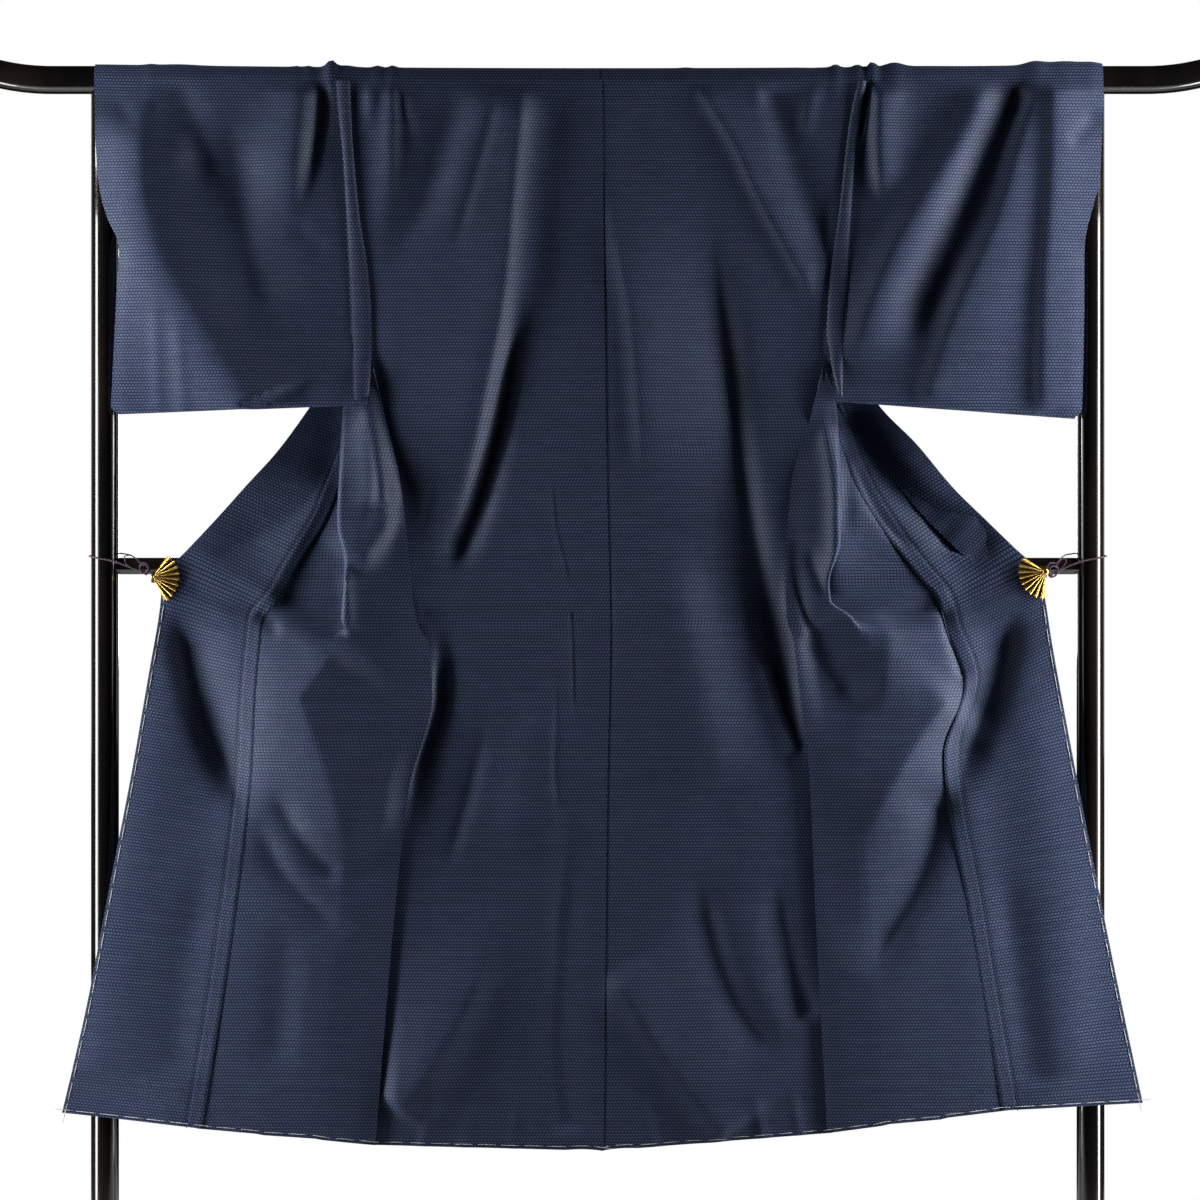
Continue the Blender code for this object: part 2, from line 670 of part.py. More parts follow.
def make_stand(lacquer):
    """The rail with its upturned ends, two posts, the lower rail and two feet."""
    curve = bpy.data.curves.new("stand_top_rail", "CURVE")
    curve.dimensions = "3D"
    bend = np.linspace(RAIL_BEND_START, RAIL_HALF_LENGTH, RAIL_BEND_POINTS + 1)[1:]
    straight = np.linspace(-RAIL_BEND_START, RAIL_BEND_START, RAIL_STRAIGHT_POINTS)
    xs = [*-bend[::-1], *straight, *bend]
    spline = curve.splines.new("POLY")
    spline.points.add(len(xs) - 1)
    for point, x in zip(spline.points, xs):
        past = max(0.0, abs(x) - RAIL_BEND_START)
        rise = RAIL_BEND_RADIUS - math.sqrt(RAIL_BEND_RADIUS ** 2 - past ** 2)
        point.co = (x, 0, RAIL_HEIGHT + rise - rail_dip(x), 1)
    curve.bevel_depth = RAIL_RADIUS
    curve.bevel_resolution = 4
    curve.use_fill_caps = True
    curve.materials.append(lacquer)
    bpy.context.collection.objects.link(bpy.data.objects.new("stand_top_rail", curve))

    post_bottom = FOOT_HEIGHT + GAP
    post_top = RAIL_HEIGHT - RAIL_RADIUS - rail_dip(min(POST_OUT.values()) - POST_RADIUS) - GAP
    for side in (LEFT, RIGHT):
        bm = bmesh.new()
        bmesh.ops.create_cone(bm, cap_ends=True, segments=20, radius1=POST_RADIUS, radius2=POST_RADIUS,
                              depth=post_top - post_bottom)
        post = add_object(f"stand_post_{NAMES[side]}", bm, lacquer)
        post.location = (side * POST_OUT[side], 0, (post_top + post_bottom) / 2)

        bm = bmesh.new()
        bmesh.ops.create_cube(bm, size=1)
        bmesh.ops.scale(bm, vec=(FOOT_WIDTH, FOOT_LENGTH, FOOT_HEIGHT), verts=bm.verts)
        bmesh.ops.bevel(bm, geom=bm.edges[:], offset=FOOT_EDGE, segments=2, affect="EDGES")
        foot = add_object(f"stand_foot_{NAMES[side]}", bm, lacquer)
        foot.location = (side * POST_OUT[side], 0, FOOT_HEIGHT / 2)

    bm = bmesh.new()
    length = POST_OUT[LEFT] + POST_OUT[RIGHT] - 2 * (POST_RADIUS + GAP)
    bmesh.ops.create_cone(bm, cap_ends=True, segments=16, radius1=CROSS_RAIL_RADIUS,
                          radius2=CROSS_RAIL_RADIUS, depth=length)
    cross = add_object("stand_cross_rail", bm, lacquer)
    cross.location = ((POST_OUT[RIGHT] - POST_OUT[LEFT]) / 2, 0, RAIL_HEIGHT - CROSS_RAIL_DROP)
    cross.rotation_euler = (0, math.pi / 2, 0)


def fan_mesh(side):
    """A pleated fan leaf, a stud behind its hub and a jaw behind the cloth, as one body."""
    clip = CLIP[side]
    bm = bmesh.new()
    sections = 2 * FAN_PLEATS
    leaf_back = CLIP_BACK - WALL / 2 - GAP - FAN_WALL / 2 - FAN_RELIEF
    grid = []
    for k in range(sections + 1):
        angle = math.radians(clip["aim"] + clip["half_angle"] * (2 * k / sections - 1))
        lift = FAN_RELIEF * (1 if k % 2 else -1)
        line = []
        for radius, share in FAN_SPOKE:
            line.append((radius * math.cos(angle), leaf_back + lift * share, -radius * math.sin(angle)))
        grid.append(line)
    points = np.array(grid)
    sides = [[[bm.verts.new(p + (0, FAN_WALL / 2 * s, 0)) for p in row] for row in points] for s in (1, -1)]
    for i in range(sections):
        for j in range(2):
            for s in sides:
                bm.faces.new((s[i][j], s[i + 1][j], s[i + 1][j + 1], s[i][j + 1]))
        for j in (0, 2):
            bm.faces.new((sides[0][i][j], sides[0][i + 1][j], sides[1][i + 1][j], sides[1][i][j]))
    for i in (0, sections):
        for j in range(2):
            bm.faces.new((sides[0][i][j], sides[0][i][j + 1], sides[1][i][j + 1], sides[1][i][j]))
    return bm, leaf_back


def make_clip(side, gold):
    clip = CLIP[side]
    bm, leaf_back = fan_mesh(side)
    name = f"fan_clip_{NAMES[side]}"
    fan = add_object(name, bm, gold)
    jaw_back = CLIP_BACK + WALL / 2 + GAP + JAW_WALL / 2 + JAW_SLACK
    stud_front, stud_end = leaf_back - FAN_RELIEF - RIVET_HEAD, jaw_back + JAW_WALL / 2
    bm = bmesh.new()
    bmesh.ops.create_cone(bm, cap_ends=True, segments=16, radius1=FAN_HUB_RADIUS, radius2=FAN_HUB_RADIUS,
                          depth=stud_end - stud_front)
    bmesh.ops.rotate(bm, cent=(0, 0, 0), matrix=ROTATE_TO_Y, verts=bm.verts)
    bmesh.ops.translate(bm, vec=(0, (stud_front + stud_end) / 2, 0), verts=bm.verts)
    stud = add_object(name + "_stud", bm, gold)
    bm = bmesh.new()
    bmesh.ops.create_cube(bm, size=1)
    bmesh.ops.scale(bm, vec=(JAW_LENGTH, JAW_WALL, JAW_HEIGHT), verts=bm.verts)
    reach = -side * (JAW_LENGTH - FAN_HUB_RADIUS) / 2
    bmesh.ops.translate(bm, vec=(reach, jaw_back, 0), verts=bm.verts)
    jaw = add_object(name + "_jaw", bm, gold)
    for piece in (stud, jaw):
        join = fan.modifiers.new("join", "BOOLEAN")
        join.operation = "UNION"
        join.object = piece
        piece.hide_render = True
        piece.display_type = "WIRE"
    for piece in (fan, stud, jaw):
        piece.location = (side * clip["out"], 0, RAIL_HEIGHT - clip["drop"])


# A cord's route from the clip's stud round a post 660 out and back, above the lower rail: out, drop,
# back. It moves with the post, but not at the clip.
CORD_ROUTE = (
    (600, 660, -27.5), (612, 655, -25.5), (627, 649, -24), (643, 643, -22.5), (655, 640, -21),
    (667, 638, -19.9), (676, 636, -13.5), (681, 635, -3), (680, 634, 8), (673, 633, 16.5),
    (662, 632, 20.6), (650, 631, 19.5), (641, 631, 14), (634, 632, 5), (627, 633, -5),
    (620, 636, -14), (612, 642, -20.5), (604, 649, -24.5),
)
CORD_POINTS = 30
CORD_POST = 0.660
CORD_START = 0.600
CORD_SHIFT_STEP = 0.03


def make_cord(side, cord):
    name = f"clip_cord_{NAMES[side]}"
    route = np.array(CORD_ROUTE) * MM
    places = np.arange(len(route))
    curve = bpy.data.curves.new(name, "CURVE")
    curve.dimensions = "3D"
    spline = curve.splines.new("POLY")
    spline.points.add(CORD_POINTS - 1)
    for k, point in enumerate(spline.points):
        s = k / (CORD_POINTS - 1) * places[-1]
        out, drop, back = (smooth(s, places, route[:, c]) for c in range(3))
        out += (POST_OUT[side] - CORD_POST) * ease((out - CORD_START) / CORD_SHIFT_STEP)
        point.co = (side * out, back, RAIL_HEIGHT - drop, 1)
    curve.bevel_depth = CORD_RADIUS
    curve.bevel_resolution = 2
    curve.use_fill_caps = True
    curve.materials.append(cord)
    bpy.context.collection.objects.link(bpy.data.objects.new(name, curve))


ROTATE_TO_Y = Vector((0, 0, 1)).rotation_difference(Vector((0, 1, 0))).to_matrix()


def main():
    empty_the_scene()
    lacquer = make_material("black lacquer", (0.012, 0.010, 0.010), 0.12)
    navy = make_material("navy weave", (0.030, 0.042, 0.095), 0.75)
    gold = make_material("gilt brass", (0.80, 0.56, 0.14), 0.28, 1.0)
    purple = make_material("purple cord", (0.045, 0.018, 0.045), 0.7)
    make_stand(lacquer)
    for side in (LEFT, RIGHT):
        cloth_wall(f"body_{NAMES[side]}", body_points(side), WALL, navy)
        cloth_wall(f"okumi_{NAMES[side]}", okumi_points(side), WALL, navy)
        cloth_wall(f"sleeve_{NAMES[side]}", sleeve_points(side), WALL, navy, ring=True)
        make_clip(side, gold)
        make_cord(side, purple)
    cloth_wall("collar", collar_points(), COLLAR_WALL, navy)


main()
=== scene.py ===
import math

import bmesh
import bpy
import numpy as np
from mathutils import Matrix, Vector


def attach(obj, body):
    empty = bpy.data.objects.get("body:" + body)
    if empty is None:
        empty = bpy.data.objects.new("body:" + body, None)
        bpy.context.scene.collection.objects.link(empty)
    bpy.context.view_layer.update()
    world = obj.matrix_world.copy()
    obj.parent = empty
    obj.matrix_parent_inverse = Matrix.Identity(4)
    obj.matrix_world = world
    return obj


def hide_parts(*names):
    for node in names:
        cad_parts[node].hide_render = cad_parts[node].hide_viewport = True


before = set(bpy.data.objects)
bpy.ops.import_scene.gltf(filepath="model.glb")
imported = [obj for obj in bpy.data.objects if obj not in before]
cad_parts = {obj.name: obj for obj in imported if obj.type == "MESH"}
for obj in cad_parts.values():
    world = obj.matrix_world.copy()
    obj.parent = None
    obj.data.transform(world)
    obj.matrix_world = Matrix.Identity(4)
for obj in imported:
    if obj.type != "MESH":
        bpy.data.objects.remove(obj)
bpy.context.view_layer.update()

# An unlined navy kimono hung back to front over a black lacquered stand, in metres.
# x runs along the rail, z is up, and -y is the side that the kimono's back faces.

mm = 0.001
left, right = -1, 1
sideNames = {left: "left", right: "right"}

view = {
    "lens": 135,
    "sensor": 36,
    "distance": 6.0,
    "x": 0.0013,
    "height": 0.9267,
    "world": 0.006,
    "backdrop": 1.0,    # seen by the camera alone, it lights nothing
}

lights = (
    # name, place, aim, width, height, power
    ("side box left", (-1.2, -0.23, 0.76), (-0.2, -0.03, 0.72), 0.2, 1.45, 17),
    ("side box right", (1.2, -0.22, 0.76), (0.2, -0.03, 0.72), 0.2, 1.45, 18),
    ("high box left", (-1.3, -0.24, 1.8), (-0.4, -0.03, 1.3), 0.25, 0.5, 8),
    ("high box right", (1.3, -0.24, 1.8), (0.4, -0.03, 1.3), 0.25, 0.5, 11),
    ("wide box left", (-1.8, -0.75, 0.7), (-0.2, 0, 0.6), 0.5, 1.2, 3),
    ("wide box right", (1.8, -0.75, 0.7), (0.2, 0, 0.6), 0.5, 1.2, 3),
    ("behind left", (-2.2, 2.0, 1.6), (0, 0, 0.9), 0.8, 2.0, 5),
    ("behind right", (2.2, 2.0, 1.6), (0, 0, 0.9), 0.8, 2.0, 5),
    ("behind middle", (0, 2.8, 1.5), (0, 0, 0.9), 1.0, 1.4, 70),
)


def putInScene(name, data):
    obj = bpy.data.objects.new(name, data)
    bpy.context.collection.objects.link(obj)
    return obj


def setCamera():
    data = bpy.data.cameras.new("camera")
    data.lens = view["lens"]
    data.sensor_width = view["sensor"]
    camera = putInScene("camera", data)
    camera.location = (view["x"], -view["distance"], view["height"])
    camera.rotation_euler = (math.radians(90), 0, 0)
    bpy.context.scene.camera = camera


def setLights():
    world = bpy.data.worlds.new("studio")
    world.use_nodes = True
    background = world.node_tree.nodes["Background"]
    background.inputs["Color"].default_value = (1, 1, 1, 1)
    background.inputs["Strength"].default_value = view["world"]
    bpy.context.scene.world = world
    for name, place, aim, width, height, power in lights:
        data = bpy.data.lights.new(name, "AREA")
        data.shape = "RECTANGLE"
        data.size, data.size_y = width, height
        data.energy = power
        lamp = putInScene(name, data)
        lamp.location = place
        lamp.rotation_euler = (Vector(aim) - Vector(place)).to_track_quat("-Z", "Y").to_euler()
        lamp.visible_camera = False
    bpy.context.scene.view_settings.view_transform = "Standard"


setCamera()
setLights()
print("camera and lights set")


class Value:
    # a socket that reads as a number in an expression
    def __init__(self, recipe, socket):
        self.recipe, self.socket = recipe, socket

    def __add__(self, other):
        return self.recipe.maths("ADD", self, other)

    def __radd__(self, other):
        return self.recipe.maths("ADD", other, self)

    def __sub__(self, other):
        return self.recipe.maths("SUBTRACT", self, other)

    def __rsub__(self, other):
        return self.recipe.maths("SUBTRACT", other, self)

    def __mul__(self, other):
        return self.recipe.maths("MULTIPLY", self, other)

    def __truediv__(self, other):
        return self.recipe.maths("DIVIDE", self, other)

    def __pow__(self, other):
        return self.recipe.maths("POWER", self, other)


class Recipe:
    # a material or a geometry tree, built node by node
    def __init__(self, tree):
        self.tree = tree

    def add(self, kind, settings=None, sockets=None, out=0):
        node = self.tree.nodes.new(kind)
        for name, value in (settings or {}).items():
            setattr(node, name, value)
        for name, value in (sockets or {}).items():
            self.put(node.inputs[name], value)
        self.last = node
        return None if out is None else Value(self, node.outputs[out])

    def put(self, socket, value):
        if isinstance(value, Value):
            self.tree.links.new(value.socket, socket)
        elif hasattr(value, "__len__") and len(value) == 3 and len(socket.default_value) == 4:
            socket.default_value = (*value, 1)
        else:
            socket.default_value = value

    def outputs(self):
        # the last node's outputs by name
        return {socket.name: Value(self, socket) for socket in self.last.outputs}

    def maths(self, operation, *values):
        return self.add("ShaderNodeMath", {"operation": operation}, dict(enumerate(values)))

    def ramp(self, value, low, high):
        # 0 below low, 1 above high
        return self.add("ShaderNodeMapRange", {"interpolation_type": "SMOOTHSTEP"},
                        {"Value": value, "From Min": low, "From Max": high})

    def blend(self, share, a, b):
        return self.add("ShaderNodeMix", {"data_type": "RGBA"}, {0: share, 6: a, 7: b}, out=2)

    def noise(self, vector, scale, detail=2.0, rough=0.5):
        return self.add("ShaderNodeTexNoise", {"noise_dimensions": "3D"},
                        {"Vector": vector, "Scale": scale, "Detail": detail, "Roughness": rough})

    def stretch(self, vector, scale, angle=0.0):
        return self.add("ShaderNodeMapping", {},
                        {"Vector": vector, "Scale": scale, "Rotation": (0, 0, angle)})

    def objectPlace(self):
        return self.add("ShaderNodeTexCoord", out=3)

    def finish(self, shader, colour, roughness, bump=None):
        # bump is its strength, its depth in metres and the height that it follows
        self.put(shader.inputs["Base Color"], colour)
        self.put(shader.inputs["Roughness"], roughness)
        if bump:
            sockets = dict(zip(("Strength", "Distance", "Height"), bump))
            self.put(shader.inputs["Normal"], self.add("ShaderNodeBump", {}, sockets))


def makeMaterial(name, fixed):
    material = bpy.data.materials.new(name)
    material.use_nodes = True
    shader = material.node_tree.nodes["Principled BSDF"]
    for socket, value in fixed.items():
        shader.inputs[socket].default_value = value
    return material, Recipe(material.node_tree), shader


clothLook = {
    "rowPitch": 0.0039,            # the dashes' rows, up the cloth
    "dashPitch": 0.0043,           # and along a row
    "ground": (0.0115, 0.0170, 0.0430),
    "dash": (0.105, 0.143, 0.262),
    "tint": (0.0230, 0.0190, 0.0540),
    "green": (0.0160, 0.0270, 0.0400),
    "roughness": 0.55,
    "gloss": 0.22,
    "sheen": 0.06,
    "sheenRoughness": 0.45,
    "sheenTint": (0.72, 0.80, 1.0, 1),
    "bump": (0.25, 0.0006),        # strength and depth
}


def weaveCloth(name, look):
    material, recipe, shader = makeMaterial(name, {
        "Sheen Weight": look["sheen"],
        "Sheen Roughness": look["sheenRoughness"],
        "Sheen Tint": look["sheenTint"],
        "Specular IOR Level": look["gloss"],
    })
    uv = recipe.add("ShaderNodeTexCoord", out=2)
    along = recipe.add("ShaderNodeSeparateXYZ", {}, {0: uv}, out=1)
    across = recipe.add("ShaderNodeSeparateXYZ", {}, {0: uv}, out=0)
    wander = recipe.noise(recipe.stretch(uv, (9, 9, 1)), 1.0, 1.0) - 0.5
    rows = along / look["rowPitch"] + wander * 0.5
    row = recipe.maths("FLOOR", rows)
    inRow = rows - row
    rowChance = recipe.maths("FRACT", recipe.maths("SINE", row * 12.9898) * 43.7585)
    dashes = across / look["dashPitch"] + row * 0.5 + rowChance * 0.22
    inDash = recipe.maths("FRACT", dashes)
    rowBody = 1 - recipe.maths("ABSOLUTE", inRow * 2 - 1) ** 2.2
    dashBody = 1 - recipe.maths("ABSOLUTE", inDash * 2 - 1) ** 2.6
    body = rowBody * dashBody
    slub = recipe.noise(recipe.stretch(uv, (5, 310, 1)), 1.0, 3.0, 0.6)      # uneven weft threads
    patch = recipe.noise(recipe.stretch(uv, (38, 60, 1)), 1.0, 2.0)
    hue = recipe.noise(recipe.stretch(uv, (24, 46, 1), 0.5), 1.0, 1.0)
    ground = recipe.blend(recipe.ramp(hue, 0.52, 0.72) * 0.5, look["ground"], look["tint"])
    ground = recipe.blend(recipe.ramp(hue, 0.48, 0.28) * 0.5, ground, look["green"])
    lift = recipe.ramp(body, 0.35, 0.85) * (0.30 + slub * 0.75) * (0.6 + patch * 0.6)
    recipe.finish(shader, recipe.blend(lift, ground, look["dash"]),
                  look["roughness"] + (slub - 0.5) * 0.14 - body * 0.06,
                  (*look["bump"], body + slub * 0.35))
    return material


def lacquer(name, deep, brown):
    material, recipe, shader = makeMaterial(name, {
        "Specular IOR Level": 0.55,
        "Coat Weight": 0.35,
        "Coat Roughness": 0.04,
        "Coat IOR": 1.5,
    })
    place = recipe.objectPlace()
    wave = recipe.noise(recipe.stretch(place, (14, 14, 3)), 1.0, 2.0)
    dust = recipe.noise(place, 900, 1.0)
    recipe.finish(shader, recipe.blend(recipe.ramp(wave, 0.4, 0.7), deep, brown),
                  0.10 + wave * 0.05 + recipe.ramp(dust, 0.66, 0.75) * 0.22, (0.04, 0.002, wave))
    return material


def gilt(name, valleyPaintedShade, crestPaintedHighlight, worn):
    # "high" is 1 on the crests of the pleats and 0 between them: the colour paints a highlight on the crests
    # and shade in the valleys
    material, recipe, shader = makeMaterial(name, {"Metallic": 1.0, "Specular IOR Level": 0.5})
    place = recipe.objectPlace()
    high = recipe.add("ShaderNodeAttribute", {"attribute_name": "high"}, out=2)
    grain = recipe.noise(place, 420, 3.0)
    wear = recipe.noise(place, 60, 2.0)
    # painted light: dark painted shade in the pleats' valleys, bright painted highlight on their crests
    colour = recipe.blend(recipe.ramp(high, 0.0, 1.0), valleyPaintedShade, crestPaintedHighlight)
    colour = recipe.blend(recipe.ramp(wear, 0.55, 0.75) * 0.35, colour, worn)
    recipe.finish(shader, colour, 0.20 + grain * 0.14 + (1 - high) * 0.12, (0.12, 0.0004, grain))
    return material


def threadLook(name, dark, pale, scale, sheen):
    material, recipe, shader = makeMaterial(name, {
        "Sheen Weight": sheen, "Sheen Roughness": 0.5, "Specular IOR Level": 0.3})
    place = recipe.objectPlace()
    strand = recipe.add("ShaderNodeTexWave", {"bands_direction": "DIAGONAL"}, {
        "Vector": place, "Scale": scale, "Distortion": 1.5, "Detail": 1.0}, out=1)
    fuzz = recipe.noise(place, 1400, 2.0)
    recipe.finish(shader, recipe.blend(strand * 0.7 + fuzz * 0.3, dark, pale), 0.70 + fuzz * 0.2,
                  (0.4, 0.0003, strand))
    return material


def paleFloor(name, dull, bright):
    material, recipe, shader = makeMaterial(name, {"Specular IOR Level": 0.2})
    tone = recipe.noise(recipe.objectPlace(), 1.6, 3.0)
    recipe.finish(shader, recipe.blend(tone, dull, bright), 0.75 + tone * 0.1)
    return material


navy = weaveCloth("navy weave", clothLook)
blackLacquer = lacquer("black lacquer", (0.0035, 0.003, 0.003), (0.009, 0.0065, 0.0055))
# the first two colours are the painted shade of the fan's pleat valleys and the painted highlight on its
# crests
goldLeaf = gilt("gilt brass", (0.30, 0.17, 0.035), (0.86, 0.58, 0.15), (0.95, 0.74, 0.34))
purpleCord = threadLook("purple cord", (0.020, 0.006, 0.020), (0.085, 0.035, 0.085), 900, 0.2)
paleThread = threadLook("pale basting thread", (0.34, 0.35, 0.37), (0.62, 0.62, 0.62), 1500, 0.3)
darkThread = threadLook("dark sewing thread", (0.004, 0.005, 0.011), (0.012, 0.015, 0.030), 1500, 0.0)
floorPaint = paleFloor("pale floor", (0.80, 0.79, 0.77), (0.86, 0.85, 0.84))
print("materials made")


def columnsOf(names, rows):
    # a table's columns by name, from rows in mm
    values = np.array(rows, float) * mm
    return {name: values[:, i] for i, name in enumerate(names.split())}


def smoothly(x, xs, ys):
    # a curve through the places of a table that doesn't swing past them
    xs, ys = np.asarray(xs, float), np.asarray(ys, float)
    x = np.clip(x, xs[0], xs[-1])
    steps, slopes = np.diff(xs), np.diff(ys) / np.diff(xs)
    inner = np.where(slopes[:-1] * slopes[1:] > 0, 2 * slopes[:-1] * slopes[1:], 0)
    inner = inner / np.where(inner != 0, slopes[:-1] + slopes[1:], 1)
    tangents = np.concatenate([[slopes[0]], inner, [slopes[-1]]])
    i = np.clip(np.searchsorted(xs, x) - 1, 0, len(steps) - 1)
    t = (x - xs[i]) / steps[i]
    rise = t * t * (3 - 2 * t)
    return (ys[i] + (ys[i + 1] - ys[i]) * rise + t * (1 - t) ** 2 * steps[i] * tangents[i]
            + t * t * (t - 1) * steps[i] * tangents[i + 1])


def columnAt(table, name, at):
    # a column's value at a place in the table's first column
    return smoothly(at, next(iter(table.values())), table[name])


def ease(x):
    x = np.clip(x, 0, 1)
    return x * x * (3 - 2 * x)


def softRoute(route, cells=6):
    # a smooth line through a fold's places, in mm
    places = np.array(route, float)
    if len(places) < 3:
        return places
    s = np.arange(len(places), dtype=float)
    fine = np.linspace(0, s[-1], (len(places) - 1) * cells + 1)
    ends = np.vstack([2 * places[0] - places[1], places, 2 * places[-1] - places[-2]])
    i = np.minimum(fine.astype(int), len(places) - 2)
    t = (fine - i)[:, None]
    a, b, c, d = ends[i], ends[i + 1], ends[i + 2], ends[i + 3]
    return 0.5 * (2 * b + (c - a) * t + (2 * a - 5 * b + 4 * c - d) * t ** 2
                  + (3 * b - a - 3 * c + d) * t ** 3)


def foldHeights(folds, x, drop):
    # how far the folds lift the cloth towards the viewer, in metres
    here = np.stack([x, drop], -1) / mm
    height = np.zeros(x.shape)
    for firstWidth, secondWidth, top, power, (fadeIn, fadeOut), route in folds:
        line = softRoute(route)
        reach = cloth["foldReach"] * max(firstWidth, secondWidth)
        near = np.all((here > line.min(0) - reach) & (here < line.max(0) + reach), axis=-1)
        if not near.any():
            continue
        spots = here[near]
        best = np.full(len(spots), np.inf)
        along, width = np.zeros(len(spots)), np.ones(len(spots))
        lengths = np.linalg.norm(np.diff(line, axis=0), axis=1)
        passed = np.concatenate([[0], np.cumsum(lengths)])
        for k in range(len(line) - 1):
            a, step = line[k], line[k + 1] - line[k]
            off = spots - a
            t = np.clip(off @ step / (step @ step), 0, 1)
            far = np.linalg.norm(off - t[:, None] * step, axis=1)
            first = step[0] * off[:, 1] - step[1] * off[:, 0] > 0
            closer = far < best
            best = np.where(closer, far, best)
            along = np.where(closer, (passed[k] + t * lengths[k]) / passed[-1], along)
            width = np.where(closer, np.where(first, firstWidth, secondWidth), width)
        share = np.ones(len(spots))
        if fadeIn:
            share *= ease(along / fadeIn)
        if fadeOut:
            share *= ease((1 - along) / fadeOut)
        height[near] += top * share * np.exp(-((best / width) ** power))
    return height * mm * cloth["foldHeight"]


waves = {
    "size": 0.0016,
    "lengths": (0.34, 0.21, 0.13, 0.09),
    "turns": 3,            # for each length
    "start": 0.1,          # the drop over which they begin at the rail
    "backSeed": 3, "frontSeed": 5, "overlapSeed": 7, "sleeveSeed": 11,
}


def softWaves(x, drop, seed):
    # low uneven waves, so that no stretch of cloth is flat
    chance = np.random.default_rng(waves[seed])
    height = np.zeros(np.shape(x))
    for length in waves["lengths"]:
        for angle in chance.uniform(-0.5, 0.5, waves["turns"]):
            phase = chance.uniform(0, 6.28)
            way = x * math.cos(angle) + drop * math.sin(angle) * 0.6
            bend = 1.5 * np.sin(drop * 5 + phase)
            height = height + length * np.sin(way * 6.283 / length + phase + bend)
    return height * waves["size"]


stand = {
    "railHeight": 1.62,
    "railRadius": 0.0187,
    "sag": 0.005,
    "halfLength": 0.87,
    "bendStart": 0.73,         # the ends turn up from here
    "bendRadius": 0.31,
    "span": 0.66,              # half the length that sags
    "postRadius": 0.0185,
    "posts": {left: 0.6587, right: 0.6553},
    "crossDrop": 0.648,
    "crossRadius": 0.011,
    "foot": (0.058, 0.42, 0.032),
    "footBevel": 0.006,
    "railEnd": 0.0015,         # how much the rail's ends are softened
    "postIn": 0.002,           # how far the posts reach into the feet
    "railIn": 0.55,            # and end below the rail's middle, in rail radiuses
    "crossIn": 0.012,          # between the cross rail's end and the post's middle
}

cloth = {
    "wall": 0.0012,
    "gap": 0.0009,             # between the rail and the cloth
    "sagFade": 0.12,           # the rail's sag is lost in the cloth over this drop
    "clear": 0.0018,           # between the posts or the cross rail and the cloth
    "postReach": 0.022,        # half widths that the cloth keeps clear
    "crossReach": 0.014,
    "rowStep": 0.0068,
    "frontStep": 0.0066,
    "railRows": 24,            # over the rail
    "frontCells": (22, 6, 14, 6, 24),           # from the overlap to the side: flat and fold by turns
    "pleatTurn": 0.008,        # depth between a pleat's layers
    "pleatRound": 0.0036,      # how far its fold bulges
    "pleatBlend": 0.03,        # the width at which a pleat is fully made
    "flatStep": 0.005,         # half the bend's width where no pleat is made
    "foldHeight": 1.5,         # how much of the folds' drawn heights is given
    "foldReach": 2.6,          # how far a fold is felt, in its widths
    "foldStart": 0.02,         # the drop over which folds begin at the rail
    "edgeFade": (0.03, 0.016),                  # at the side seam, for folds out and for folds in
    "frontFade": (0.03, 0.30, 0.1),             # width at the edge; first drop, length
    "sideOver": 0.001,         # how far the back reaches past its side edge
    "lap": 0.0024,             # the back's edge behind the front's at the side seam, where it shows
    "lapShare": 0.9,           # how much of that is lost where the two lie flush
    "flush": {left: ((0.54, 0.58), (0.68, 0.72)), right: ((0.44, 0.46), (0.50, 0.54))},
    "frontLap": (0.0022, 0.01, 0.03),           # depth; its start below the armhole, and its growth
    "centreLap": (0.0035, 0.0009, 0.012),       # width, height and roundness
    "hemNotch": (0.0016, 0.16),                 # depth, and its share of the width
    "tuck": 0.006,             # of the back under the front, and the front under the overlap
    "tuckFade": 0.05,
}
hangRadius = stand["railRadius"] + cloth["gap"] + cloth["wall"] / 2


def railDip(x):
    return stand["sag"] * np.maximum(0, 1 - (x / stand["span"]) ** 2)


def place(side, out, drop, back):
    # a place so far out from the middle, down from the rail and away from the viewer
    x = side * np.asarray(out, float)
    z = stand["railHeight"] - drop - railDip(x) * (1 - ease(np.asarray(drop) / cloth["sagFade"]))
    return np.stack(np.broadcast_arrays(x, back, z), -1)


def keepClear(points):
    # keeps cloth in front of the posts and of the lower cross rail
    x, drop = points[..., 0], stand["railHeight"] - points[..., 2]
    for side in (left, right):
        off = np.maximum(0, np.abs(x - side * stand["posts"][side]) - cloth["postReach"])
        points[..., 1] = np.minimum(points[..., 1], off - stand["postRadius"] - cloth["clear"])
    off = np.maximum(0, np.abs(drop - stand["crossDrop"]) - cloth["crossReach"])
    points[..., 1] = np.minimum(points[..., 1], off - stand["crossRadius"] - cloth["clear"])


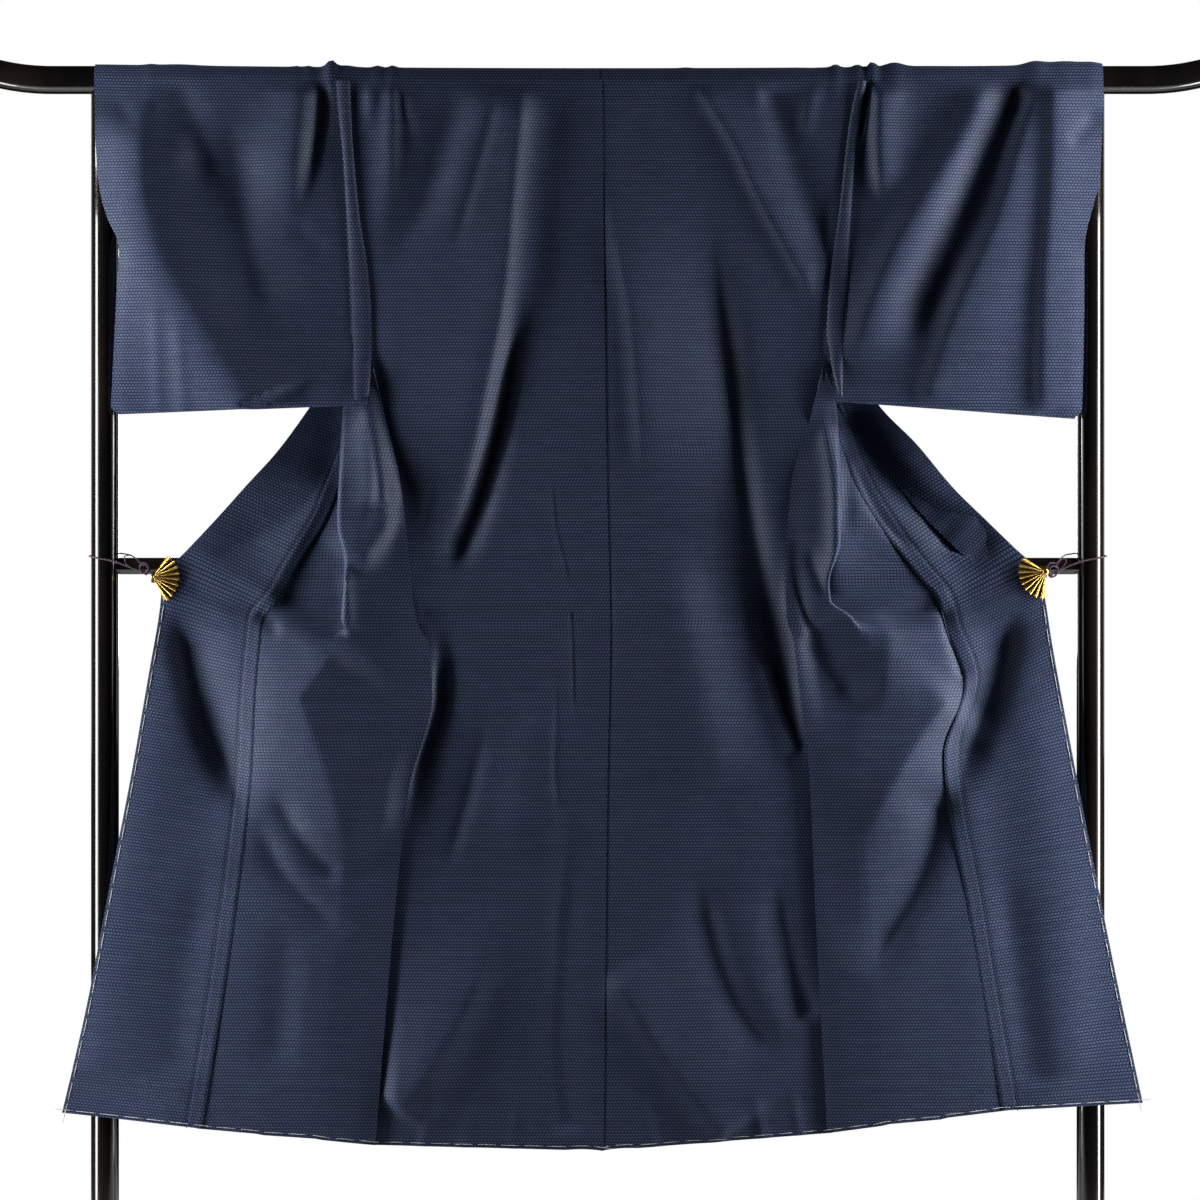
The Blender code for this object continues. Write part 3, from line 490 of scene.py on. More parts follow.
frontColumns = "drop side near deep seam sideBack nearBack deepBack seamBack"
fronts = {
    left: columnsOf(frontColumns, (
        (0, 331, 285, 125, 95, 20.4, 20.4, 20.4, 20.4),
        (75, 327, 283, 132, 126, 20, 21, 24, 37),
        (175, 319, 285, 146, 211, 16, 20, 29, 42),
        (293, 304, 290, 162, 256, 2, 12, 27, 42),
        (357, 303, 300, 172, 279, -11, 8, 23, 36),
        (437, 287, 337, 228, 307, -16, -13, 10, 22),
        (529, 265, 341, 259, 341, -24, -38, -10, 4),
        (587, 257, 343, 274, 363, -28, -45, -20, -8),
        (643, 251, 333, 285, 396, -31, -47, -27, -18),
        (693, 246, 336, 307, 424, -33, -47, -28, -20),
        (721, 240, 340, 325, 447, -33, -44, -29, -22),
        (745, 226, 325, 352, 449, -34, -39, -33, -24),
        (813, 221, 300, 377, 455, -34, -39, -36, -26),
        (933, 252, 318, 390, 462, -30, -38, -34, -27),
        (1093, 271, 340, 410, 481, -27, -36, -33, -27),
        (1395, 297, 372, 450, 528, -25, -30, -30, -26),
    )),
    right: columnsOf(frontColumns, (
        (0, 345, 300, 133, 103, 20.4, 20.4, 20.4, 20.4),
        (75, 332, 294, 140, 134, 20, 21, 24, 37),
        (175, 319, 288, 150, 219, 16, 20, 29, 42),
        (293, 304, 290, 163, 259, 2, 12, 27, 42),
        (357, 301, 298, 176, 281, -11, 8, 23, 36),
        (437, 284, 313, 205, 308, -16, -13, 10, 22),
        (532, 256, 316, 240, 341, -24, -36, -10, 4),
        (611, 249, 316, 265, 387, -29, -44, -23, -13),
        (664, 248, 301, 272, 427, -32, -46, -28, -19),
        (690, 248, 305, 284, 449, -33, -46, -30, -21),
        (711, 249, 335, 318, 457, -33, -43, -30, -22),
        (735, 257, 352, 376, 463, -34, -40, -33, -24),
        (805, 266, 340, 412, 487, -34, -39, -36, -25),
        (900, 278, 340, 398, 459, -31, -38, -34, -27),
        (1105, 288, 355, 424, 491, -27, -36, -33, -27),
        (1371, 303, 380, 458, 536, -25, -30, -30, -26),
    )),
}
back = columnsOf("drop centre centreBack", (
    (0, 4, -20.4), (179, 6, -21), (357, 8, -22), (529, 10, -24), (733, 15, -27), (933, 11, -28),
    (1425, 6, -31)))
armholeBack = columnsOf("drop back", ((0, -20.4), (179, -19.5), (290, -17), (357, -14.6)))
neck = {
    left: columnsOf("drop out", ((10, -4), (14, 52), (24, 78), (38, 98), (54, 112), (75, 126))),
    right: columnsOf("drop out", ((10, 4), (14, 60), (24, 86), (38, 105), (54, 120), (75, 134))),
}
# drops from the rail
armhole = 0.357                        # where the sleeve comes free
sideHem = {left: 1.417, right: 1.401}
centreHem = 1.424
lowestHem = 1.425
notchStart = 1.3                       # the hem's notch at the centre seam begins here
neckRows = (0.004, 0.071)
neckEnd = 0.075
frontTop = 0.0775
frontTuckDrop = 0.20                   # the front is tucked under the overlap from here

# folds, in mm: the half widths to the left and to the right of a route that runs down the picture,
# the height, the sharpness (1 a ridge, 2 round), the fades at both ends as shares of the route, and
# the route's places, from the middle and down from the rail
backFolds = (
    (82, 20, 13, 1.4, (0.1, 0.4), ((-100, -19), (-108, 67), (-117, 160), (-125, 253), (-135, 333),
     (-151, 420), (-169, 500), (-192, 587), (-223, 667))),
    (7, 8, -1.6, 1.5, (0.2, 0.3), ((-135, 8), (-145, 60), (-161, 120), (-177, 173), (-196, 243))),
    (28, 24, -4, 2, (0.2, 0.4), ((-172, -11), (-191, 40), (-207, 93), (-225, 147), (-257, 208),
     (-285, 280))),
    (11, 8, 3.5, 1.7, (0, 0.55), ((-304, -24), (-304, 20), (-308, 73))),
    (16, 9, 4.5, 1.7, (0, 0.6), ((-277, -24), (-275, 47), (-277, 133), (-289, 227))),
    (8, 12, 2, 2, (0, 0.5), ((-260, -13), (-249, 40), (-233, 93))),
    (26, 18, -12, 1.7, (0.4, 0.15), ((-105, 253), (-116, 353), (-131, 447), (-147, 520), (-169, 593),
     (-204, 673))),
    (3, 3, -1, 1.5, (0.3, 0.3), ((-212, 520), (-225, 567), (-239, 597))),
    (6, 3, -1.4, 1.5, (0.05, 0.3), ((-241, 708), (-199, 708), (-132, 704), (-52, 701))),
    (10, 26, -6.5, 1.8, (0.35, 0.45), ((-221, 717), (-211, 747), (-212, 780), (-225, 833), (-240, 896),
     (-252, 960), (-260, 1027))),
    (22, 13, -3.5, 1.8, (0.45, 0.3), ((-145, 813), (-159, 887), (-177, 960), (-199, 1027), (-228, 1077))),
    (4, 5, -1.2, 1.5, (0.3, 0.2), ((-64, 500), (-57, 593), (-44, 647), (-37, 693))),
    (3, 5, -1.3, 1.5, (0.05, 0.4), ((-37, 704), (-35, 760), (-33, 827), (-27, 880))),
    (4, 6, -1.2, 1.5, (0.3, 0.3), ((-55, 760), (-56, 853), (-59, 920), (-49, 1000))),
    (20, 30, -4, 2, (0.4, 0.05), ((-29, 920), (-39, 1027), (-49, 1133), (-52, 1240), (-49, 1333),
     (-41, 1407))),
    (3, 4, -0.8, 1.5, (0.3, 0.3), ((-25, 443), (-21, 493), (-15, 549))),
    (60, 28, 9, 1.6, (0.5, 0.04), ((-125, 1067), (-151, 1153), (-183, 1237), (-223, 1309), (-271, 1376))),
    (40, 45, 5, 2, (0.3, 0.3), ((-72, 813), (-92, 933), (-119, 1053))),
    (16, 60, 6, 1.7, (0.35, 0.3), ((12, 80), (28, 213), (47, 320), (57, 427), (63, 520), (75, 600))),
    (70, 45, 8, 2, (0.25, 0.25), ((75, 600), (97, 693), (124, 800), (145, 896), (164, 973))),
    (62, 20, -12, 1.5, (0.3, 0.25), ((135, 133), (151, 227), (164, 307), (175, 387), (184, 467),
     (195, 547), (209, 627), (225, 693), (239, 753), (249, 813), (259, 880), (269, 947))),
    (10, 28, 5, 1.5, (0.1, 0.15), ((121, -16), (155, 40), (183, 89), (212, 153), (248, 220), (297, 309))),
    (22, 28, -4, 2, (0.1, 0.3), ((225, -16), (247, 67), (268, 136), (297, 213), (316, 267))),
    (10, 10, 2.5, 2, (0.1, 0.4), ((292, -16), (279, 40), (271, 93))),
    (8, 9, 2, 2, (0, 0.5), ((208, -19), (209, 13), (217, 43))),
    (3, 3, -0.9, 1.5, (0.3, 0.3), ((261, 359), (235, 376), (220, 397), (217, 421))),
    (38, 20, -7, 1.6, (0.3, 0.15), ((121, 1040), (139, 1100), (156, 1160), (181, 1227), (212, 1272),
     (240, 1299))),
    (28, 16, -5, 1.8, (0.3, 0.1), ((228, 1053), (245, 1133), (264, 1207), (283, 1256))),
    (26, 58, 7.5, 1.5, (0.12, 0.05), ((17, 1181), (55, 1247), (95, 1307), (140, 1365), (172, 1408))),
    (14, 7, 3.5, 1.8, (0.3, 0.1), ((204, 747), (231, 827), (263, 901))),
    (7, 9, 1.4, 2, (0.5, 0), ((-212, 1327), (-236, 1427))),
    (8, 8, 1.4, 2, (0.5, 0), ((-161, 1340), (-183, 1427))),
    (8, 8, 1.2, 2, (0.5, 0), ((-105, 1333), (-116, 1427))),
    (8, 8, 1.3, 2, (0.5, 0), ((55, 1347), (75, 1427))),
    (8, 8, 1.3, 2, (0.5, 0), ((204, 1333), (219, 1420))),
    (7, 7, 1.3, 2, (0.5, 0), ((255, 1333), (268, 1413))),
)
frontFolds = (
    (18, 52, -12, 1.6, (0.25, 0.3), ((-564, 693), (-549, 753), (-531, 820), (-509, 883), (-481, 947),
     (-465, 989))),
    (62, 54, -8, 1.4, (0, 0.3), ((-329, 427), (-367, 525), (-407, 581), (-479, 620), (-535, 643))),
    (58, 20, 6, 1.7, (0.25, 0.1), ((-348, 509), (-388, 589), (-428, 667), (-449, 704))),
    (7, 4, -1.4, 1.5, (0.1, 0.1), ((-545, 675), (-497, 693), (-449, 709))),
    (8, 5, -1.6, 1.5, (0.05, 0.05), ((-436, 713), (-388, 723), (-341, 735))),
    (7, 5, -1.3, 1.5, (0.05, 0.1), ((-329, 739), (-295, 732), (-251, 724))),
    (9, 6, -3.5, 1.6, (0.2, 0.4), ((-455, 707), (-436, 723), (-420, 744))),
    (92, 74, 14, 1.2, (0.12, 0.22), ((-335, 741), (-369, 787), (-392, 824), (-376, 873), (-356, 933),
     (-341, 1000), (-336, 1059))),
    (12, 30, -2.2, 1.8, (0.25, 0.3), ((-337, 1075), (-299, 1041), (-260, 981))),
    (14, 16, -3.5, 1.6, (0.3, 0.15), ((-436, 940), (-401, 1000), (-365, 1043), (-339, 1064))),
    (16, 14, -3.5, 1.6, (0.3, 0.25), ((-457, 976), (-431, 1037), (-392, 1089), (-352, 1123),
     (-319, 1117))),
    (4, 4, -1.5, 1.4, (0.05, 0.1), ((-395, 825), (-325, 827), (-263, 832))),
    (8, 8, -0.9, 2, (0.2, 0.2), ((-383, 864), (-332, 876), (-268, 867))),
    (45, 60, 4, 2, (0.2, 0.05), ((-585, 760), (-608, 933), (-639, 1133), (-665, 1333))),
    (30, 30, -3, 2, (0.3, 0.1), ((-512, 1027), (-545, 1173), (-561, 1333))),
    (25, 25, -3, 2, (0.3, 0.2), ((-412, 1100), (-419, 1200), (-432, 1333))),
    (50, 9, 16, 2, (0, 0.1), ((-284, 421), (-271, 480), (-260, 531), (-255, 571))),
    (44, 14, 9, 2, (0, 0.3), ((-255, 568), (-284, 597), (-311, 635), (-329, 659))),
    (6, 6, -0.9, 1.8, (0.2, 0.4), ((-311, 443), (-303, 491), (-300, 547), (-313, 607), (-324, 653))),
    (8, 8, 3, 1.5, (0.3, 0.05), ((-339, 640), (-333, 687), (-332, 731))),
    (30, 26, -11, 1.8, (0, 0.25), ((335, 459), (364, 507), (405, 555), (455, 596), (505, 628),
     (535, 647))),
    (12, 34, 7, 1.5, (0.15, 0.2), ((296, 440), (305, 493), (312, 560), (311, 627), (305, 693))),
    (8, 12, -3, 1.6, (0.2, 0.3), ((335, 500), (367, 571), (399, 611), (439, 629))),
    (8, 5, -1.6, 1.5, (0.05, 0.1), ((461, 687), (503, 673), (545, 657))),
    (12, 9, -3, 1.5, (0.1, 0.05), ((380, 723), (415, 709), (452, 691))),
    (6, 12, -3.5, 1.5, (0.1, 0.1), ((456, 699), (467, 747), (485, 800))),
    (48, 20, -12, 1.6, (0.25, 0.3), ((553, 691), (540, 747), (524, 807), (504, 864), (484, 917),
     (468, 968))),
    (50, 45, 3, 2, (0.2, 0.05), ((575, 773), (588, 933), (604, 1093), (635, 1333))),
    (24, 24, -3, 2, (0.3, 0.1), ((535, 1027), (559, 1200), (581, 1347))),
    (36, 58, 8, 1.2, (0.15, 0.45), ((385, 723), (383, 767), (377, 813), (367, 848))),
    (46, 50, -9, 1.3, (0.15, 0.4), ((260, 736), (300, 784), (335, 821), (364, 848))),
    (36, 50, 9, 1.25, (0.15, 0.35), ((481, 808), (441, 853), (404, 909), (372, 968), (351, 1027))),
    (8, 30, 1.6, 1.6, (0.2, 0.5), ((284, 945), (359, 945))),
    (4, 4, -0.8, 1.4, (0.05, 0.1), ((287, 996), (356, 995))),
    (48, 18, -8, 1.6, (0.15, 0.25), ((460, 931), (443, 1013), (419, 1080), (388, 1133), (348, 1203))),
    (10, 10, -3, 1.8, (0.2, 0.2), ((325, 467), (331, 533), (325, 613))),
    (6, 14, -5, 1.5, (0.25, 0.15), ((252, 593), (257, 653), (268, 709), (284, 747))),
    (8, 10, -3, 1.6, (0.3, 0.15), ((276, 620), (288, 660), (303, 691))),
)
sleeveFolds = (
    (72, 60, 19, 1.7, (0.15, 0.02), ((-603, 27), (-607, 93), (-603, 160), (-593, 211), (-575, 256),
     (-543, 304), (-503, 369), (-463, 443))),
    (8, 22, -2, 1.8, (0.1, 0.3), ((-591, 20), (-592, 107), (-588, 193))),
    (10, 8, -2, 1.7, (0.1, 0.2), ((-660, 16), (-639, 37), (-612, 61))),
    (24, 22, -4.5, 2, (0.05, 0.3), ((-569, -19), (-551, 33), (-532, 93), (-513, 160))),
    (62, 34, -8, 1.7, (0.3, 0.25), ((-503, 33), (-484, 107), (-475, 180), (-468, 243), (-449, 296),
     (-409, 328))),
    (42, 20, 8, 1.6, (0, 0.45), ((-393, -24), (-399, 40), (-404, 107), (-409, 167), (-412, 220))),
    (13, 9, -5.5, 1.6, (0, 0.6), ((-364, -24), (-365, 20), (-372, 69), (-383, 120), (-395, 180),
     (-404, 220))),
    (12, 12, -2, 1.7, (0.2, 0.3), ((-408, 195), (-385, 216), (-356, 229))),
    (7, 7, 0.8, 2, (0.3, 0), ((-588, 280), (-585, 443))),
    (8, 8, 0.8, 2, (0.3, 0), ((-559, 307), (-551, 443))),
    (6, 6, -0.9, 2, (0.3, 0.3), ((-436, 309), (-423, 323), (-412, 353))),
    (10, 30, 9, 1.7, (0, 0.3), ((375, -24), (372, 40), (372, 107), (380, 180))),
    (8, 5, -5, 1.6, (0, 0.5), ((364, -24), (359, 13), (351, 53), (345, 107))),
    (26, 46, 11, 1.7, (0.15, 0.15), ((524, -24), (497, 51), (465, 113), (431, 164), (401, 213),
     (372, 280), (348, 347), (332, 400))),
    (36, 18, -9, 1.7, (0, 0.2), ((572, -27), (543, 37), (517, 93), (491, 160), (464, 227), (436, 293),
     (399, 363))),
    (20, 70, 9, 1.7, (0.05, 0.05), ((584, -27), (575, 40), (560, 93), (543, 153), (521, 213), (489, 280),
     (463, 347), (433, 443))),
    (14, 62, 7, 1.7, (0.05, 0.02), ((603, -24), (603, 93), (599, 187), (592, 280), (589, 443))),
    (10, 10, -2, 1.8, (0.2, 0.2), ((663, 45), (644, 69), (623, 91))),
)
# small gathers over the rail, in mm: place, half width, height
railGathers = (
    (-404, 5, 1.2), (-388, 5, 1.6), (-357, 7, 9.5), (-338, 14, 2.4), (-295, 6, 2.6), (-275, 5, 3.0),
    (116, 8, 0.8), (283, 9, -0.4), (315, 6, 4.2), (344, 6, 3.6), (364, 5, 7.5), (393, 15, 5.5),
    (430, 40, 0.8), (580, 16, 5.0), (620, 30, 5.0), (656, 14, 2.5), (-560, 30, 1.6), (-597, 8, 1.4),
)


def gathers(x):
    return sum(top * np.exp(-(((x / mm - at) / width) ** 2)) for at, width, top in railGathers) * mm


def gathersBelow(x, drop, share=0.4, fade=0.05):
    # what is left of the gathers just under the rail
    return gathers(x) * share * (1 - ease(drop / fade))


def overRail(side, out, angle):
    # a row of cloth at an angle round the rail, from 0 on the viewer's side
    radius = hangRadius + gathers(side * out) * (0.4 + 0.6 * math.sin(angle) ** 2)
    return place(side, out, -radius * math.sin(angle), -radius * math.cos(angle))


def flatAt(across, along):
    # places on the flat cloth, which its weave follows
    return np.stack(np.broadcast_arrays(across, along), -1)


def runAlong(places):
    # the length passed at each place of a line
    return np.concatenate([[0], np.cumsum(np.linalg.norm(np.diff(places, axis=0), axis=1))])


def levelsBetween(start, end, step):
    return np.linspace(start, end, int(round((end - start) / step)) + 1)


def apartAt(side, drop):
    # 1 where the edges at the side seam stand apart, near 0 where they lie flush
    (start, full), (last, end) = cloth["flush"][side]
    flush = ease((drop - start) / (full - start)) * ease((end - drop) / (end - last))
    return 1 - cloth["lapShare"] * flush


def sideBackOf(side, drop):
    # the depth of the back's edge, under the front's at the side seam
    upper = columnAt(armholeBack, "back", drop)
    lower = columnAt(fronts[side], "sideBack", drop) + cloth["lap"] * apartAt(side, drop)
    mix = ease((drop - armhole) / cloth["tuckFade"])
    return upper * (1 - mix) + lower * mix


def frontRow(side, level):
    # the places across a front at one level, from its seam with the overlap to its side edge
    inner, deep, near, outer = (
        np.array((columnAt(fronts[side], name, level), columnAt(fronts[side], name + "Back", level)))
        for name in ("seam", "deep", "near", "side"))
    deepFold = ease(min(inner[0] - deep[0], near[0] - deep[0]) / cloth["pleatBlend"])
    nearFold = ease(min(near[0] - outer[0], near[0] - deep[0]) / cloth["pleatBlend"])
    lead, middle, last = ((b - a) / np.linalg.norm(b - a)
                          for a, b in ((inner, deep), (deep, near), (near, outer)))
    turn, bulge = np.array((0, cloth["pleatTurn"])), np.array((cloth["pleatRound"], 0))
    step = cloth["flatStep"]
    deepFar = deep - lead * step * (1 - deepFold) + turn * deepFold
    deepNear = deep + middle * step * (1 - deepFold)
    nearFar = near - middle * step * (1 - nearFold) + turn * nearFold
    nearNear = near + last * step * (1 - nearFold)
    inner = inner - lead * cloth["tuck"] * ease((level - frontTuckDrop) / cloth["tuckFade"])
    lapDepth, below, growth = cloth["frontLap"]
    lap = np.array((0, lapDepth)) * ease((level - armhole - below) / growth)
    outer = outer - lap * apartAt(side, level)
    legs = (
        # from, to, how far the leg swings out between them
        (inner, deepFar, 0.0),
        (deepFar, deepNear, -bulge * deepFold),
        (deepNear, nearFar, 0.0),
        (nearFar, nearNear, bulge * nearFold),
        (nearNear, outer, 0.0),
    )
    row = [inner[None]]
    for count, (a, b, swing) in zip(cloth["frontCells"], legs):
        f = np.linspace(0, 1, count + 1)[1:, None]
        row.append(a + (b - a) * f + swing * np.sin(math.pi * f) ** 0.8)
    return np.vstack(row)


def backRows(side, even):
    # up from the hem to the rail
    lapWidth, lapHeight, lapRound = cloth["centreLap"]
    notch, notchShare = cloth["hemNotch"]
    outFade, inFade = cloth["edgeFade"]
    rows, lengths = [], []
    for level in levelsBetween(0, lowestHem, cloth["rowStep"])[::-1]:
        hem = centreHem * (1 - even) + sideHem[side] * even
        if level > notchStart:
            hem = hem - notch * np.sin(math.pi * np.clip(even / notchShare, 0, 1)) * (even < notchShare)
        drop = level + (hem - lowestHem) * (level / lowestHem) ** 2
        centre = side * columnAt(back, "centre", drop) - lapWidth * (side == right)
        outer = (columnAt(fronts[side], "side", drop) + cloth["sideOver"]
                 + cloth["tuck"] * ease((drop - armhole) / cloth["tuckFade"]))
        out = centre + (outer - centre) * even
        inset = outer - out
        bow = ease(even) * 0.6 + even * 0.4
        depth = columnAt(back, "centreBack", drop) * (1 - bow) + sideBackOf(side, drop) * bow
        if side == right:
            depth = depth + lapHeight * ease(1.2 - (out - centre) / lapRound)
        lift = foldHeights(backFolds, side * out, drop) * ease(drop / cloth["foldStart"])
        lift = lift * np.where(lift > 0, ease(inset / outFade - 0.1), ease(inset / inFade))
        lift += softWaves(side * out, drop, "backSeed") * ease(drop / waves["start"]) * ease(inset / outFade)
        lift += gathersBelow(side * out, drop)
        rows.append(place(side, out, drop, depth - lift))
        lengths.append(flatAt(inset, -drop))
    return rows, lengths


def shoulderRows(side, even):
    # over the rail, and down from it to the lower end of the neck's curve
    inner = side * back["centre"][0] - cloth["centreLap"][0] * (side == right)
    outer = fronts[side]["side"][0]
    across = inner + (outer + cloth["sideOver"] - inner) * even
    rows, lengths = [], []
    for angle in np.linspace(0, math.pi, cloth["railRows"] + 1)[1:]:
        rows.append(overRail(side, across, angle))
        lengths.append(flatAt(outer - across, hangRadius * angle))
    firstRow = frontRow(side, neckEnd)[:, 0]
    spread = (firstRow - firstRow[0]) / (firstRow[-1] - firstRow[0])
    for drop in levelsBetween(*neckRows, cloth["rowStep"]):
        edge = columnAt(neck[side], "out", drop)
        mix = ease(drop / neckEnd)
        f = even * (1 - mix) + spread * mix
        outer = columnAt(fronts[side], "side", drop)
        out = edge + (outer - edge) * f
        innerBack, outerBack = (columnAt(fronts[side], name, drop) for name in ("seamBack", "sideBack"))
        depth = innerBack * (1 - f) + outerBack * f + gathersBelow(side * out, drop)
        rows.append(place(side, out, drop, depth))
        lengths.append(flatAt(outer - out, hangRadius * math.pi + drop))
    return rows, lengths


def frontRows(side, even):
    # down from the neck to the front's hem
    hem = fronts[side]["drop"][-1]
    edgeFade, fadeStart, fadeDrop = cloth["frontFade"]
    rows, lengths = [], []
    for level in levelsBetween(frontTop, hem, cloth["frontStep"]):
        cells = frontRow(side, level)
        out, depth = cells.T
        drop = level + (sideHem[side] - hem) * (level / hem) ** 2 * even
        fade = ease((out - out[-1]) / edgeFade) * ease((level - fadeStart) / fadeDrop)
        lift = foldHeights(frontFolds, side * out, drop) * fade
        lift += softWaves(side * out, drop, "frontSeed") * fade
        rows.append(place(side, out, drop, depth - lift))
        passed = runAlong(cells)
        lengths.append(flatAt(passed[-1] - passed, hangRadius * math.pi + drop))
    rows = np.array(rows)
    keepClear(rows)
    return rows, lengths


def bodyPoints(side):
    # rows from the back's hem up over the rail and down to the front's hem, with the cloth's own lengths
    even = np.linspace(0, 1, sum(cloth["frontCells"]) + 1)
    parts = [make(side, even) for make in (backRows, shoulderRows, frontRows)]
    rows, lengths = (np.concatenate(part) for part in zip(*parts))
    return rows, lengths


okumiColumns = "seamDrop edge edgeDrop edgeBack"
okumis = {
    left: columnsOf(okumiColumns, (
        (190, 224, 190, 43), (300, 293, 298, 38), (437, 375, 418, 19), (529, 431, 497, 2),
        (587, 470, 541, -8), (643, 515, 592, -17), (693, 553, 633, -21.5), (715, 578, 658, -23),
        (745, 583, 704, -23), (813, 596, 782, -23), (933, 617, 906, -23), (1093, 649, 1070, -23),
        (1250, 681, 1237, -24), (1395, 713, 1374, -25))),
    right: columnsOf(okumiColumns, (
        (190, 232, 190, 43), (300, 300, 298, 38), (437, 372, 430, 18), (532, 425, 487, 3),
        (600, 471, 543, -8), (650, 515, 587, -16), (689, 551, 623, -21.5), (713, 583, 655, -23),
        (751, 592, 690, -23), (805, 601, 747, -23), (900, 620, 853, -23), (1105, 664, 1080, -23),
        (1276, 699, 1253, -24), (1371, 722, 1361, -25))),
}
okumi = {
    "allowance": 0.021,            # from the seam's fold to its stitches
    "over": 0.0017,                # how far it stands on the front's edge
    "inward": 0.001,               # and how far it reaches in over it
    "waveFade": 0.05,              # from the seam
    "groove": (0.0009, 0.0016),    # the stitches' groove: depth and half width
    "crown": (0.0008, 0.007),      # the seam's fold: height and half width
    "edge": (0.0012, 0.0022),      # its rounded edge
    "cells": 52,
}


def softRidge(inset, size, at=0.0):
    height, halfWidth = size
    return height * np.exp(-(((inset - at) / halfWidth) ** 2))


def okumiPoints(side):
    table = okumis[side]
    rows, lengths = [], []
    even = np.linspace(0, 1, okumi["cells"] + 1)
    share = 0.35 * even + 0.65 * even ** 1.6        # closer columns at the seam
    for level in levelsBetween(table["seamDrop"][0], table["seamDrop"][-1], cloth["frontStep"]):
        seam, seamBack = (columnAt(fronts[side], name, level) for name in ("seam", "seamBack"))
        start = np.array((seam - okumi["inward"], level, seamBack - okumi["over"]))
        end = np.array([columnAt(table, name, level) for name in ("edge", "edgeDrop", "edgeBack")])
        out, drop, depth = (start + (end - start) * share[:, None]).T
        inset = share * np.linalg.norm(end[:2] - start[:2])
        lift = foldHeights(frontFolds, side * out, drop)
        lift += softWaves(side * out, drop, "overlapSeed") * ease(inset / okumi["waveFade"])
        crown = softRidge(inset, okumi["crown"]) - softRidge(inset, okumi["edge"])
        groove = softRidge(inset, okumi["groove"], okumi["allowance"])
        rows.append(place(side, out, drop, depth - lift - crown + groove))
        lengths.append(flatAt(inset, level))
    rows = np.array(rows)
    keepClear(rows)
    return rows, np.array(lengths)


cuffColumns = "drop near nearBack far farBack"
cuffs = {
    left: columnsOf(cuffColumns, (
        (0, 671, -20.4, 671, 20.4), (93, 667, -20.4, 665, 20.4), (140, 663, -20.4, 652, 20.4),
        (159, 660, -20.4, 641, 20.4), (195, 648, -21, 635, 6), (210, 640, -22, 634, -8),
        (228, 636, -23, 636, -19.6), (290, 640, -23, 640, -19.6), (357, 644, -23, 644, -19.6),
        (445, 649, -23, 649, -19.6))),
    right: columnsOf(cuffColumns, (
        (0, 670, -20.4, 670, 20.4), (93, 667, -20.4, 665, 20.4), (140, 664, -20.4, 650, 20.4),
        (163, 658, -20.4, 638, 20.4), (200, 648, -21, 632, 6), (216, 645, -22, 632, -8),
        (234, 644, -23, 644, -19.6), (290, 644, -23, 644, -19.6), (451, 641, -23, 641, -19.6))),
}
sleeve = {
    "bottom": {left: (0.433, 0.445), right: (0.428, 0.451)},
    "freeEdge": {left: 0.307, right: 0.310},
    "seamOver": 0.004,             # how far it reaches in over the body's edge
    "corner": 0.009,
    "belly": 0.006,
    "freeFade": 0.03,              # below the armhole
    "nearOver": 0.0008,            # the near layer behind the body's edge
    "closeStart": 0.30,            # from here down to the armhole the two layers come together
    "apart": 0.0009,               # each layer from their middle
    "cuffSeam": (0.222, 0.012),    # the drop from which the cuff is sewn, and its fade
    "cuffShare": (0.955, 0.045),   # the same across the sleeve
    "cuffMiddle": -0.0213,
    "cuffApart": 0.0006,
    "shut": 0.012,                 # the height over which the bottom closes
    "farFolds": 0.45,              # the far layer's share of the folds
    "crowding": 0.06,              # how much closer the columns are in the middle
    "cells": 66,
}
sleeveMiddle = columnsOf("drop back", ((0, -14), (357, -14.8), (430, -26.5)))


def sleeveInnerEdge(side, drop):
    seam = columnAt(fronts[side], "side", drop) - sleeve["seamOver"]
    free = ease((drop - armhole) / sleeve["freeFade"])
    return seam * (1 - free) + sleeve["freeEdge"][side] * free


